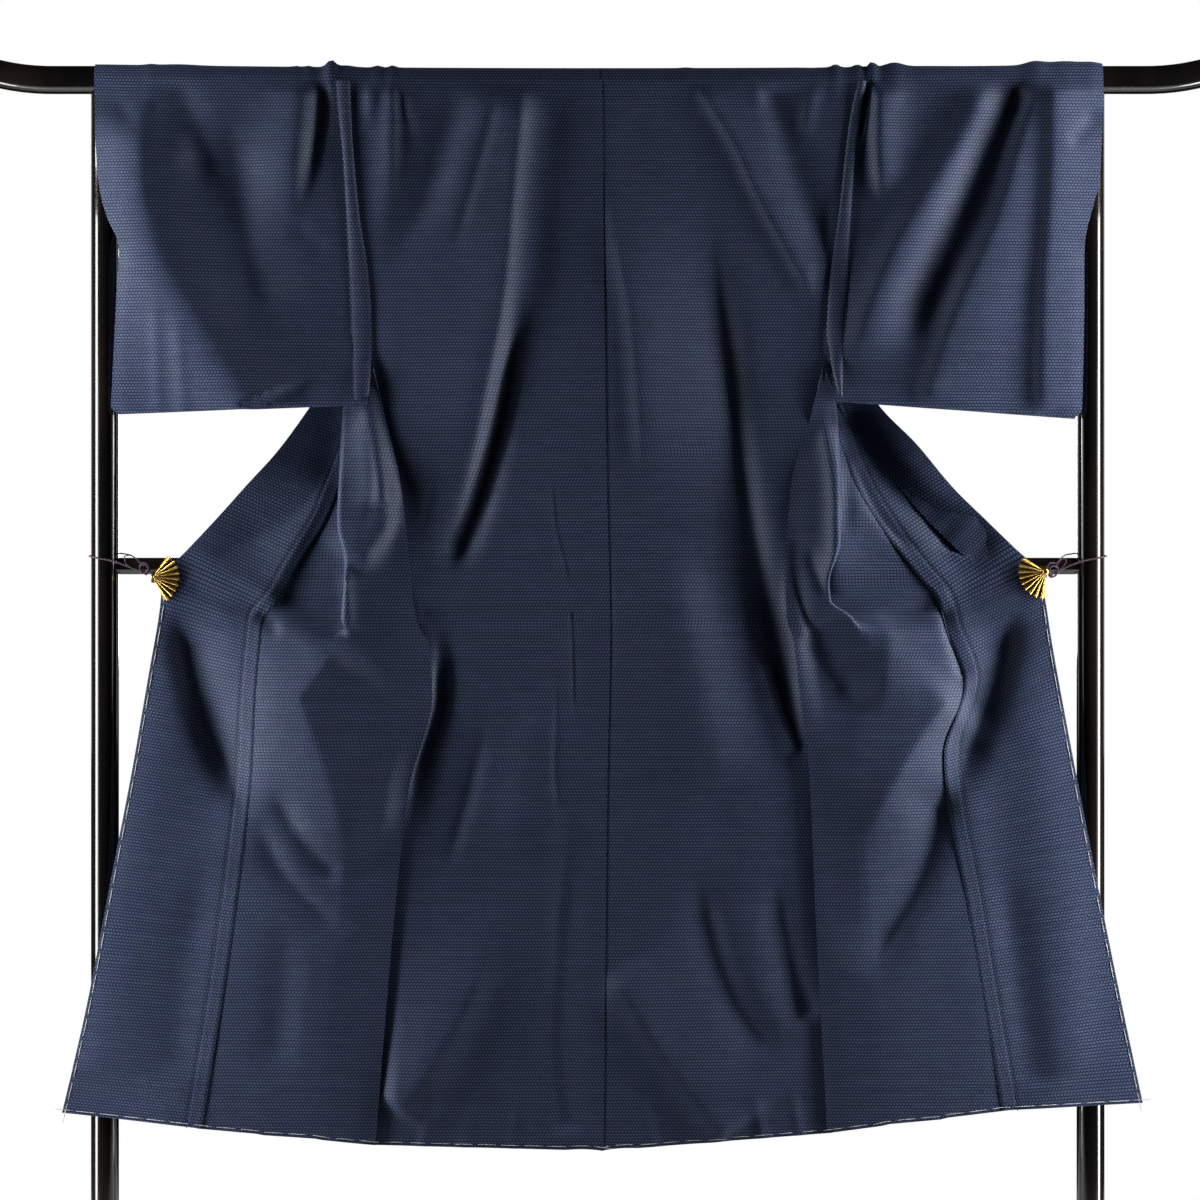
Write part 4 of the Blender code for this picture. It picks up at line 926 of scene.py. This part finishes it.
def sleeveRow(side, level, far, f):
    # one row of the near or the far layer, f from the armhole to the cuff
    cuff, corner = cuffs[side], sleeve["corner"]
    name, away = ("far", 1) if far else ("near", -1)
    innerBottom, outerBottom = sleeve["bottom"][side]
    slant = 1 + f * (outerBottom / innerBottom - 1)
    drop, bottom = level * slant, innerBottom * slant
    start, end = sleeveInnerEdge(side, drop), columnAt(cuff, name, drop)
    down = np.clip(corner - (bottom - drop), 0, corner)
    end = end - (corner - np.sqrt(corner ** 2 - down ** 2))
    out = start + (end - start) * f
    if far:
        hung = columnAt(fronts[side], "sideBack", drop)
    else:
        hung = columnAt(armholeBack, "back", drop) + sleeve["nearOver"]
    close = ease((drop - sleeve["closeStart"]) / (armhole - sleeve["closeStart"]))
    middle = columnAt(sleeveMiddle, "back", drop)
    hung = hung * (1 - close) + (middle + away * sleeve["apart"]) * close
    (seamStart, seamFade), (cuffStart, cuffFade) = sleeve["cuffSeam"], sleeve["cuffShare"]
    sewn = ease((drop - seamStart) / seamFade) * ease((f - cuffStart) / cuffFade)
    atCuff = columnAt(cuff, name + "Back", drop)
    atCuff = atCuff * (1 - sewn) + (sleeve["cuffMiddle"] + away * sleeve["cuffApart"]) * sewn
    hang = 1 - ease(f * 1.15)
    depth = hung * hang + atCuff * (1 - hang)
    lift = foldHeights(sleeveFolds, side * out, drop)
    lift *= ease(drop / cloth["foldStart"]) * ease(f * 30 + 0.1) * (sleeve["farFolds"] if far else 1)
    lift += softWaves(side * out, drop, "sleeveSeed") * np.sin(math.pi * f) * ease(drop / waves["start"])
    lift += gathersBelow(side * out, drop) * -away
    swell = np.sin(math.pi * f) * np.sin(math.pi * np.minimum(1, drop / outerBottom))
    belly = sleeve["belly"] * swell * (1 - ease(1 - (bottom - drop) / sleeve["shut"]))
    points = place(side, out, drop, depth - lift + away * belly)
    if not far:
        keepClear(points)
    return points, flatAt(out, drop)


def sleevePoints(side):
    # rings from the bottom's seam up the near layer, over the rail and down the far layer
    f = np.linspace(0, 1, sleeve["cells"] + 1)
    f = f + sleeve["crowding"] * np.sin(2 * math.pi * f) / (2 * math.pi)
    levels = levelsBetween(0, sleeve["bottom"][side][0], cloth["rowStep"])
    rings, lengths = [], []
    for level in levels[::-1]:
        points, flat = sleeveRow(side, level, False, f)
        rings.append(points)
        lengths.append(flat * (1, -1))
    innerEdge = sleeveInnerEdge(side, 0.0)
    out = innerEdge + (cuffs[side]["near"][0] - innerEdge) * f
    for angle in np.linspace(0, math.pi, cloth["railRows"] + 1)[1:-1]:
        rings.append(overRail(side, out, angle))
        lengths.append(flatAt(out, hangRadius * angle))
    for level in levels:
        points, flat = sleeveRow(side, level, True, f)
        rings.append(points)
        lengths.append(flat + (0, hangRadius * math.pi))
    rings.append((rings[0] + rings[-1]) / 2 - np.array((0, 0, cloth["wall"])))
    lengths.append(lengths[-1] + (0, 0.002))
    return np.array(rings), np.array(lengths)


collarColumns = "drop out back lowBack"
collars = {
    left: columnsOf(collarColumns, (
        (5, 0, 26.4, 27), (8, 44, 27.2, 28.5), (17, 74, 29, 32), (36, 97, 34.5, 38),
        (70, 122, 42.5, 45), (120, 166, 46, 48), (175, 208, 48, 50), (235, 250, 50.5, 52),
        (300, 292, 47.5, 49), (418, 373, 27, 31), (497, 429, 9, 14), (541, 467, -1.5, 3),
        (592, 511, -11, -9.5), (633, 548, -16.5, -15))),
    right: columnsOf(collarColumns, (
        (5, 0, 26.4, 27), (8, 52, 27.2, 28.5), (17, 82, 29, 32), (36, 104, 34.5, 38),
        (70, 130, 42.5, 45), (120, 174, 46, 48), (175, 216, 48, 50), (235, 258, 50.5, 52),
        (300, 298, 47.5, 49), (430, 369, 26, 30), (487, 423, 10, 15), (543, 468, -1.5, 3),
        (587, 511, -10, -9), (623, 546, -16, -15))),
}
collar = {
    "width": 0.052,
    "wall": 0.0026,
    "ripples": ((0.0009, 5.1), (0.0004, 13.7)),        # height and rate, of the broad and the fine ones
    "steps": 120,
    "cells": 12,
}


def collarPoints():
    # rows across the band, from the left front's edge round the neck to the right's
    rows, lengths = [], []
    run = 0.0
    (broad, broadRate), (fine, fineRate) = collar["ripples"]
    f = np.linspace(0, 1, collar["cells"] + 1)
    sides = ((left, range(collar["steps"], -1, -1)), (right, range(1, collar["steps"] + 1)))
    for side, steps in sides:
        table = collars[side]
        spots = np.arange(len(table["drop"]))
        for i in steps:
            s = i / collar["steps"] * spots[-1]
            drop, out, upper, lower = (smoothly(s, spots, column) for column in table.values())
            ends = [[smoothly(s + half, spots, table[name]) for name in ("out", "drop")]
                    for half in (-0.3, 0.3)]
            ahead = np.subtract(ends[1], ends[0])
            inward = np.array((-ahead[1], ahead[0])) / np.linalg.norm(ahead)
            out = out + inward[0] * collar["width"] * f
            drop = drop + inward[1] * collar["width"] * f
            ripple = broad * np.sin(s * broadRate + side) * np.sin(math.pi * f) + fine * np.sin(s * fineRate)
            rows.append(place(side, out, drop, upper + (lower - upper) * f + ripple))
            if len(rows) > 1:
                run += float(np.linalg.norm(rows[-1][0] - rows[-2][0]))
            lengths.append(flatAt(f * collar["width"], run))
    return np.array(rows), np.array(lengths)


def finishMesh(name, work, material, sharp):
    # a finished piece from a bmesh, its faces outward and its edges sharp above an angle
    bmesh.ops.recalc_face_normals(work, faces=work.faces)
    if work.calc_volume(signed=True) < 0:
        bmesh.ops.reverse_faces(work, faces=work.faces)
    mesh = bpy.data.meshes.new(name)
    work.to_mesh(mesh)
    work.free()
    mesh.shade_smooth()
    mesh.set_sharp_from_angle(angle=math.radians(sharp))
    mesh.materials.append(material)
    return putInScene(name, mesh)


def wallNormals(points, ring):
    if ring:
        down = np.roll(points, -1, axis=0) - np.roll(points, 1, axis=0)
    else:
        down = np.gradient(points, axis=0)
    normals = np.cross(down, np.gradient(points, axis=1))
    return normals / np.maximum(np.linalg.norm(normals, axis=2, keepdims=True), 1e-9)


def clothShell(name, grid, wall, ring=False):
    # a closed thin shell round a grid of points, with the cloth's own lengths as its UV map
    points, lengths = grid
    rows, columns = points.shape[:2]
    offset = wallNormals(points, ring) * wall / 2
    both = np.concatenate([(points + offset).reshape(-1, 3), (points - offset).reshape(-1, 3)])
    size = rows * columns
    index = np.arange(size).reshape(rows, columns)
    following = np.roll(index, -1, axis=0)
    steps = rows if ring else rows - 1
    a, b = index[:steps, :-1], following[:steps, :-1]
    c, d = following[:steps, 1:], index[:steps, 1:]
    faces = [np.stack([a, b, c, d], -1).reshape(-1, 4), np.stack([d, c, b, a], -1).reshape(-1, 4) + size]
    # the rims: both side edges, and both ends unless the rows close into a ring
    edges = [(following[:steps, j], index[:steps, j], flip) for j, flip in ((0, 1), (columns - 1, -1))]
    if not ring:
        edges += [(index[i, :-1], index[i, 1:], flip) for i, flip in ((0, 1), (rows - 1, -1))]
    for low, high, flip in edges:
        faces.append(np.stack([low, high, high + size, low + size], -1)[:, ::flip])
    faces = np.concatenate(faces)
    mesh = bpy.data.meshes.new(name)
    mesh.from_pydata(both.tolist(), [], faces.tolist())
    corners = np.concatenate([lengths.reshape(-1, 2)] * 2)[faces.reshape(-1)]
    mesh.uv_layers.new(name="weave").data.foreach_set("uv", corners.astype(np.float32).reshape(-1))
    work = bmesh.new()
    work.from_mesh(mesh)
    bpy.data.meshes.remove(mesh)
    return finishMesh(name, work, navy, 55)


grids = {}
cloths = {}
for side in (left, right):
    for kind, points in (("body", bodyPoints), ("okumi", okumiPoints), ("sleeve", sleevePoints)):
        grids[kind, side] = points(side)
        cloths[kind, side] = clothShell(
            f"{kind}_{sideNames[side]}_cloth", grids[kind, side], cloth["wall"], kind == "sleeve")
collarCloth = clothShell("collar_cloth", collarPoints(), collar["wall"])
print("panels made")


# the sleeves' seam allowances, which lie on the sleeves and hang free below the armholes
seamColumns = "drop out"
allowances = {
    left: {
        "inner": columnsOf(seamColumns, (
            (0, 331), (75, 328), (179, 319), (251, 308), (315, 303), (357, 303), (400, 304), (424, 306))),
        "outer": columnsOf(seamColumns, ((0, 352), (108, 341), (215, 335), (321, 331), (424, 327))),
        "end": (0.422, 0.430),
        "over": 0.0022,
    },
    right: {
        "inner": columnsOf(seamColumns, (
            (0, 345), (43, 335), (179, 319), (251, 309), (335, 303), (380, 309), (424, 318))),
        "outer": columnsOf(seamColumns, (
            (0, 356), (47, 348), (143, 338), (251, 332), (357, 326), (424, 323))),
        "end": (0.418, 0.424),
        "over": 0.0020,
    },
}
allowance = {
    "wall": 0.0009,
    "crown": 0.0026,
    "curl": (0.003, 0.36, 0.06),       # height; the drop where it starts, and its growth
    "hung": 0.001,                     # in front of the sleeve's middle below the armhole
    "gathers": (0.3, 0.04),            # share, and the drop over which they are lost
    "rows": 66,
    "cells": 12,
}


def allowancePoints(side):
    spec = allowances[side]
    f = np.linspace(0, 1, allowance["cells"] + 1)
    curlHeight, curlStart, curlGrowth = allowance["curl"]
    crown = allowance["crown"] * np.sin(math.pi * np.clip(f * 1.1, 0, 1)) ** 0.7
    rows, lengths = [], []
    for share in np.linspace(0, 1, allowance["rows"]):
        drop = share * (spec["end"][0] * (1 - f) + spec["end"][1] * f)
        inner, outer = (columnAt(spec[name], "out", drop) for name in ("inner", "outer"))
        out = inner + (outer - inner) * f
        free = ease((drop - armhole) / sleeve["freeFade"])
        depth = columnAt(armholeBack, "back", drop) * (1 - free)
        depth = depth + (columnAt(sleeveMiddle, "back", drop) - allowance["hung"]) * free
        folds = np.maximum(0, foldHeights(sleeveFolds, side * outer, drop))
        depth = depth - folds * ease(drop / cloth["foldStart"]) * f
        curl = curlHeight * ease((drop - curlStart) / curlGrowth) * f
        depth = depth - spec["over"] - crown - curl - gathersBelow(side * out, drop, *allowance["gathers"])
        rows.append(place(side, out, drop, depth))
        lengths.append(flatAt(out, drop))
    return np.array(rows), np.array(lengths)


for side in (left, right):
    cloths["allowance", side] = clothShell(
        f"sleeve_{sideNames[side]}_seam_allowance", allowancePoints(side), allowance["wall"])


def besideEdge(points, inset, edge, proud):
    # a line beside an edge of a grid, a little proud of the cloth towards the viewer
    if edge == "last row":
        points = points.transpose(1, 0, 2)
    if edge != "first column":
        points = points[:, ::-1]
    line = []
    for row in points:
        passed = runAlong(row)
        line.append([np.interp(inset, passed, row[:, k]) for k in range(3)])
    return np.array(line) - (0, proud, 0)


def stitchRecipe():
    # stitches set along a curve
    tree = bpy.data.node_groups.new("stitches along a seam", "GeometryNodeTree")
    tree.is_modifier = True
    sockets = {"Seam": "Geometry", "Length": "Float", "Thickness": "Float", "Pitch": "Float",
               "Uneven": "Float", "Thread": "Material"}
    for name, kind in sockets.items():
        tree.interface.new_socket(name, in_out="INPUT", socket_type="NodeSocket" + kind)
    tree.interface.new_socket("Stitches", in_out="OUTPUT", socket_type="NodeSocketGeometry")
    recipe = Recipe(tree)
    recipe.add("NodeGroupInput")
    given = recipe.outputs()
    recipe.add("GeometryNodeCurveToPoints", {"mode": "LENGTH"},
               {"Curve": given["Seam"], "Length": given["Pitch"]})
    spots = recipe.outputs()
    along = recipe.add("FunctionNodeAlignRotationToVector", {"axis": "X"}, {"Vector": spots["Tangent"]})
    knot = recipe.add("GeometryNodeMeshIcoSphere", {}, {"Radius": 1.0, "Subdivisions": 2})
    chance = recipe.add("FunctionNodeRandomValue", {"data_type": "FLOAT"},
                        {2: 1 - given["Uneven"], 3: 1 + given["Uneven"], "Seed": 4}, out=1)
    size = recipe.add("ShaderNodeCombineXYZ", {}, {
        "X": given["Length"] * chance * 0.5, "Y": given["Thickness"] * 0.5, "Z": given["Thickness"] * 0.5})
    dots = recipe.add("GeometryNodeInstanceOnPoints", {}, {
        "Points": spots["Points"], "Instance": knot, "Rotation": along, "Scale": size})
    real = recipe.add("GeometryNodeRealizeInstances", {}, {"Geometry": dots})
    done = recipe.add("GeometryNodeSetMaterial", {}, {"Geometry": real, "Material": given["Thread"]})
    recipe.add("NodeGroupOutput", {}, {0: done}, out=None)
    return tree


stitchTree = stitchRecipe()
basting = {"Length": 0.027, "Thickness": 0.0011, "Pitch": 0.0292, "Uneven": 0.10, "Thread": paleThread}
sewing = {"Length": 0.0042, "Thickness": 0.0011, "Pitch": 0.0040, "Uneven": 0.15, "Thread": darkThread}
stitching = {
    "bastingInset": 0.0042,
    "bastingProud": 0.0009,        # its middle above the cloth's middle
    "sewingProud": 0.0004,
    "bastingStart": 0.580,         # the basting along an edge begins so far out, by the clip
    "seamRow": 18,                 # the overlap's first row with a seam that shows
    "armholeStart": 0.01,
    "armholeStep": 0.01,
    "armholeInset": 0.001,
    "armholeProud": 0.0026,
}


def sewStitches(name, seams, stitch):
    curve = bpy.data.curves.new(name + "_seam", "CURVE")
    curve.dimensions = "3D"
    for seam in seams:
        spline = curve.splines.new("POLY")
        spline.points.add(len(seam) - 1)
        for point, where in zip(spline.points, seam):
            point.co = (*where, 1)
    guide = putInScene(name + "_guide", curve)
    modifier = guide.modifiers.new("stitches", "NODES")
    modifier.node_group = stitchTree
    for item in stitchTree.interface.items_tree:
        if item.in_out == "INPUT" and item.name in stitch:
            modifier[item.identifier] = stitch[item.name]
    bpy.context.view_layer.update()
    mesh = bpy.data.meshes.new_from_object(guide.evaluated_get(bpy.context.evaluated_depsgraph_get()))
    mesh.name = name
    mesh.shade_smooth()
    guide.modifiers.remove(modifier)
    bpy.data.objects.remove(guide)
    return putInScene(name, mesh)


def bastingLines(side):
    # along the overlap's edge below the clip, and along the hems where they show
    overlap, body = grids["okumi", side][0], grids["body", side][0]
    clipRow = int(np.argmax(overlap[:, -1, 0] * side > stitching["bastingStart"]))
    edge, overlapHem, frontHem, backHem = (
        besideEdge(points, stitching["bastingInset"], where, stitching["bastingProud"])
        for points, where in ((overlap[clipRow:], "last column"), (overlap, "last row"),
                              (body, "last row"), (body[::-1], "last row")))
    shown = frontHem[np.abs(frontHem[:, 0]) < abs(overlapHem[0, 0])]
    shown = shown[np.abs(shown[:, 0]) > abs(backHem[-1, 0])]
    return edge, overlapHem[::-1], shown, backHem[::-1]


def seamLines(side):
    # where the overlap and the sleeve are sewn on
    overlap = grids["okumi", side][0][stitching["seamRow"]:]
    drops = levelsBetween(stitching["armholeStart"], armhole, stitching["armholeStep"])
    out = columnAt(allowances[side]["inner"], "out", drops) + stitching["armholeInset"]
    depth = columnAt(armholeBack, "back", drops) - stitching["armholeProud"]
    return (besideEdge(overlap, okumi["allowance"], "first column", stitching["sewingProud"]),
            place(side, out, drops, depth))


sewn = {}
for side in (left, right):
    sewn["basting", side] = sewStitches(f"basting_{sideNames[side]}", bastingLines(side), basting)
    sewn["seams", side] = sewStitches(f"seam_stitches_{sideNames[side]}", seamLines(side), sewing)
print("stitches sewn")


def circle(count):
    return np.linspace(0, 2 * math.pi, count, endpoint=False)


def closeRings(work, rings):
    # a closed tube through rings of places
    loops = [[work.verts.new(p) for p in ring] for ring in rings]
    for a, b in zip(loops, loops[1:]):
        for j in range(len(a)):
            after = (j + 1) % len(a)
            work.faces.new((a[j], a[after], b[after], b[j]))
    work.faces.new(loops[0])
    work.faces.new(loops[-1])


def tubeAlong(name, route, radii, material, around=56):
    # a closed round tube along a route, with its own radius at each place
    ahead = np.gradient(route, axis=0)
    ahead /= np.linalg.norm(ahead, axis=1, keepdims=True)
    up = (0.0, 1.0, 0.0) if abs(ahead[0, 1]) < 0.9 else (1.0, 0.0, 0.0)
    across = np.cross(ahead[0], up)
    angle = circle(around)[:, None]
    rings = []
    for spot, way, radius in zip(route, ahead, np.broadcast_to(radii, len(route))):
        across = across - way * (across @ way)
        across /= np.linalg.norm(across)
        rings.append(spot + radius * (np.cos(angle) * across + np.sin(angle) * np.cross(way, across)))
    work = bmesh.new()
    closeRings(work, rings)
    return finishMesh(name, work, material, 40)


def bevelledBox(size, centre, bevel, segments, profile=0.0):
    work = bmesh.new()
    bmesh.ops.create_cube(work, size=1)
    bmesh.ops.scale(work, vec=size, verts=work.verts)
    bmesh.ops.translate(work, vec=centre, verts=work.verts)
    bmesh.ops.bevel(work, geom=work.edges[:], offset=bevel, segments=segments, affect="EDGES",
                    profile=profile)
    return work


def makeStand():
    # each piece with the CAD node that it stands for
    made = []
    half, end = stand["halfLength"], stand["railEnd"]
    xs = np.concatenate([[-half], np.linspace(-half + end, half - end, 121), [half]])
    past = np.maximum(0, np.abs(xs) - stand["bendStart"])
    rise = stand["bendRadius"] - np.sqrt(stand["bendRadius"] ** 2 - past ** 2)
    route = np.stack([xs, 0 * xs, stand["railHeight"] + rise - railDip(xs)], -1)
    radii = np.full(len(xs), stand["railRadius"])
    radii[[0, -1]] -= end
    made.append((tubeAlong("lacquered_rail", route, radii, blackLacquer), "stand_top_rail"))
    footHeight = stand["foot"][2]
    bottom = footHeight - stand["postIn"]
    top = stand["railHeight"] - stand["railRadius"] * stand["railIn"]
    for side in (left, right):
        name, x = sideNames[side], side * stand["posts"][side]
        route = np.linspace((x, 0, bottom), (x, 0, top), 24)
        post = tubeAlong(f"lacquered_post_{name}", route, stand["postRadius"], blackLacquer)
        made.append((post, f"stand_post_{name}"))
        work = bevelledBox(stand["foot"], (x, 0, footHeight / 2), stand["footBevel"], 4, 0.6)
        made.append((finishMesh(f"lacquered_foot_{name}", work, blackLacquer, 35), f"stand_foot_{name}"))
    z = stand["railHeight"] - stand["crossDrop"]
    ends = [(side * (stand["posts"][side] - stand["crossIn"]), 0, z) for side in (left, right)]
    route = np.linspace(*ends, 30)
    made.append((tubeAlong("lacquered_cross_rail", route, stand["crossRadius"], blackLacquer, 40),
                 "stand_cross_rail"))
    return made


clips = {
    # the fans' middle line and half their spread in degrees
    left: {"out": 0.5925, "drop": 0.663, "aim": 4, "half": 59, "rivet": 0.0022},
    right: {"out": 0.5925, "drop": 0.656, "aim": 153, "half": 62, "rivet": 0.0046},
}
fan = {
    "radius": 0.035,
    "hub": 0.004,
    "pleats": 9,
    "pleatCells": 10,
    "outCells": 14,
    "roundness": 0.7,          # of the pleats, below 1 fuller than a wave
    "relief": 0.0020,
    "crown": 0.0012,
    "scallop": 0.0012,
    "wall": 0.0009,
    "back": -0.0288,
    # the rivet's dome: share of its radius, depth; then its stud: radius, depth
    "dome": ((0.4, -0.0048), (0.75, -0.0041), (0.95, -0.0030), (1.0, -0.0016), (0.92, 0.0002)),
    "stud": ((0.0016, 0.0004), (0.0016, 0.0095)),
    "around": 28,
    "jaw": (0.022, 0.0016, 0.015),
    "jawOut": 0.0085,
    "jawBevel": 0.0006,
}


def makeLeaf(side, centre):
    # the pleated leaf, with "high" at 1 on its crests, where the gilt colour paints a highlight, and 0 in
    # the valleys, where it paints shade
    spec = clips[side]
    across, outward = fan["pleats"] * fan["pleatCells"], fan["outCells"]
    shown, highs = [], []
    for k in range(across + 1):
        f = k / across
        angle = math.radians(spec["aim"] + spec["half"] * (2 * f - 1))
        ridge = -math.cos(f * fan["pleats"] * 2 * math.pi)
        shaped = math.copysign(abs(ridge) ** fan["roundness"], ridge)
        row = []
        for j in range(outward + 1):
            g = j / outward
            inner = fan["hub"] * 0.5
            reach = inner + (fan["radius"] + fan["scallop"] * shaped - inner) * g
            lift = fan["relief"] * shaped * (0.15 + 0.85 * g) + fan["crown"] * math.sin(math.pi * g)
            row.append(centre + (reach * math.cos(angle), -lift, -reach * math.sin(angle)))
        shown.append(row)
        # the share of painted light, from painted shade in the valleys to painted highlight on the crests
        highs.append(0.5 + 0.5 * shaped)
    work = bmesh.new()
    high = work.verts.layers.float.new("high")
    layers = []
    for depth in (0, fan["wall"]):
        layers.append([[work.verts.new(p + (0, depth, 0)) for p in row] for row in shown])
        for row, share in zip(layers[-1], highs):
            for vert in row:
                vert[high] = share
    front, hidden = layers
    for k in range(across):
        for j in range(outward):
            for rows in layers:
                work.faces.new((rows[k][j], rows[k + 1][j], rows[k + 1][j + 1], rows[k][j + 1]))
        for j in (0, outward):
            work.faces.new((front[k][j], front[k + 1][j], hidden[k + 1][j], hidden[k][j]))
    for k in (0, across):
        for j in range(outward):
            work.faces.new((front[k][j], front[k][j + 1], hidden[k][j + 1], hidden[k][j]))
    return finishMesh(f"fan_leaf_{sideNames[side]}", work, goldLeaf, 60)


def setPaintedLightShare(work, share):
    # sets how much of the gilt's painted crest highlight, rather than its painted valley shade, the whole
    # piece takes
    high = work.verts.layers.float.new("high")
    for vert in work.verts:
        vert[high] = share


def makeRivet(side, centre):
    # a domed rivet on a short stud
    dome = [(clips[side]["rivet"] * share, depth) for share, depth in fan["dome"]]
    rings = [[centre + (radius * math.cos(a), depth, radius * math.sin(a)) for a in circle(fan["around"])]
             for radius, depth in (*dome, *fan["stud"])]
    work = bmesh.new()
    closeRings(work, rings)
    # the rivet painted nearly as light as the crests' painted highlight
    setPaintedLightShare(work, 0.9)
    return finishMesh(f"fan_rivet_{sideNames[side]}", work, goldLeaf, 50)


def makeJaw(side, centre):
    # the jaw behind the cloth
    work = bevelledBox(fan["jaw"], centre + (-side * fan["jawOut"], fan["jawOut"], 0), fan["jawBevel"], 2)
    # the jaw painted between the crests' painted highlight and the valleys' painted shade
    setPaintedLightShare(work, 0.6)
    return finishMesh(f"fan_jaw_{sideNames[side]}", work, goldLeaf, 40)


cords = {
    "radius": 0.0009,
    "thickness": {"cord": 1, "knot": 1.25, "loop": 0.8},       # shares of the radius
    "post": 0.660,             # the cord is drawn round a post so far out
    "moved": (0.600, 0.03),    # and moved to the real one from here on, over this length
    "cells": 8,
    # places: out, drop, back; the cord round the post, the knot by the clip and a stray loop
    "cord": dict.fromkeys((left, right), (
        (600, 660, -27.5), (612, 655, -25.5), (627, 649, -24), (643, 643, -22.5), (655, 640, -21),
        (667, 638, -19.9), (676, 636, -13.5), (681, 635, -3), (680, 634, 8), (673, 633, 16.5),
        (662, 632, 20.6), (650, 631, 19.5), (641, 631, 14), (634, 632, 5), (627, 633, -5),
        (620, 636, -14), (612, 642, -20.5), (604, 649, -24.5))),
    "knot": {
        left: ((596, 655, -27), (600, 646, -29), (607, 644, -26), (609, 652, -24), (603, 658, -26),
               (598, 651, -30), (604, 646, -31), (610, 650, -28), (606, 657, -27), (599, 656, -24),
               (601, 648, -24), (608, 646, -28)),
        right: ((598, 662, -27), (594, 652, -30), (600, 644, -28), (607, 645, -25), (609, 655, -25),
                (603, 662, -28), (597, 655, -31), (602, 648, -31), (609, 652, -29), (606, 661, -26),
                (600, 663, -24), (597, 650, -24)),
    },
    "loop": {
        left: ((606, 648, -27), (613, 640, -29), (622, 634, -30), (630, 636, -29), (628, 645, -28),
               (618, 652, -27), (608, 655, -26), (600, 652, -25)),
        right: ((606, 650, -27), (612, 641, -28), (617, 638, -29), (620, 642, -28), (615, 650, -27),
                (608, 655, -26)),
    },
}


def makeCord(side, kind):
    places = np.array(cords[kind][side], float) * mm
    s = np.arange(len(places))
    fine = np.linspace(0, s[-1], len(places) * cords["cells"])
    out, drop, depth = (smoothly(fine, s, places[:, k]) for k in range(3))
    if kind == "cord":
        start, length = cords["moved"]
        out = out + (stand["posts"][side] - cords["post"]) * ease((out - start) / length)
    route = np.stack([side * out, depth, stand["railHeight"] - drop], -1)
    radius = cords["radius"] * cords["thickness"][kind]
    return tubeAlong(f"purple_{kind}_{sideNames[side]}", route, radius, purpleCord, 10)


def joinIn(obj, slotName, *stoodFor):
    # a finished piece takes the place of its CAD nodes and rides with the rest
    if stoodFor:
        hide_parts(*stoodFor)
    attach(obj, "root")


for obj, node in makeStand():
    joinIn(obj, "lacquer", node)
for side in (left, right):
    name, spec = sideNames[side], clips[side]
    centre = np.array((side * spec["out"], fan["back"], stand["railHeight"] - spec["drop"]))
    joinIn(makeLeaf(side, centre), "gilt", f"fan_clip_{name}")
    joinIn(makeRivet(side, centre), "gilt")
    joinIn(makeJaw(side, centre), "gilt")
    joinIn(makeCord(side, "cord"), "cord", f"clip_cord_{name}")
    joinIn(makeCord(side, "knot"), "cord")
    joinIn(makeCord(side, "loop"), "cord")
print("stand, clips and cords made")

for side in (left, right):
    name = sideNames[side]
    for kind in ("body", "okumi", "sleeve"):
        joinIn(cloths[kind, side], "cloth", f"{kind}_{name}")
    for piece in (cloths["allowance", side], sewn["basting", side], sewn["seams", side]):
        joinIn(piece, "cloth")
joinIn(collarCloth, "cloth", "collar")


stage = {
    "domeRadius": 30,
    "board": (3.0, 1.64, 0.02),
    "boardPlace": (0, 0, -0.0105),
    "bevel": 0.006,
}


def makeStage():
    work = bmesh.new()
    bmesh.ops.create_uvsphere(work, u_segments=48, v_segments=24, radius=stage["domeRadius"])
    bmesh.ops.reverse_faces(work, faces=work.faces)
    mesh = bpy.data.meshes.new("white_backdrop")
    work.to_mesh(mesh)
    work.free()
    white = makeMaterial("white backdrop", {
        "Base Color": (0, 0, 0, 1),
        "Specular IOR Level": 0,
        "Emission Color": (1, 1, 1, 1),
        "Emission Strength": view["backdrop"],
    })[0]
    mesh.materials.append(white)
    dome = putInScene("white_backdrop", mesh)
    dome.visible_diffuse = dome.visible_glossy = dome.visible_shadow = False
    dome.visible_transmission = dome.visible_volume_scatter = False
    work = bevelledBox(stage["board"], stage["boardPlace"], stage["bevel"], 3)
    board = finishMesh("pale_floor", work, floorPaint, 35)
    board.visible_diffuse = False        # no light thrown back up at the cloth


makeStage()
print("stage set")
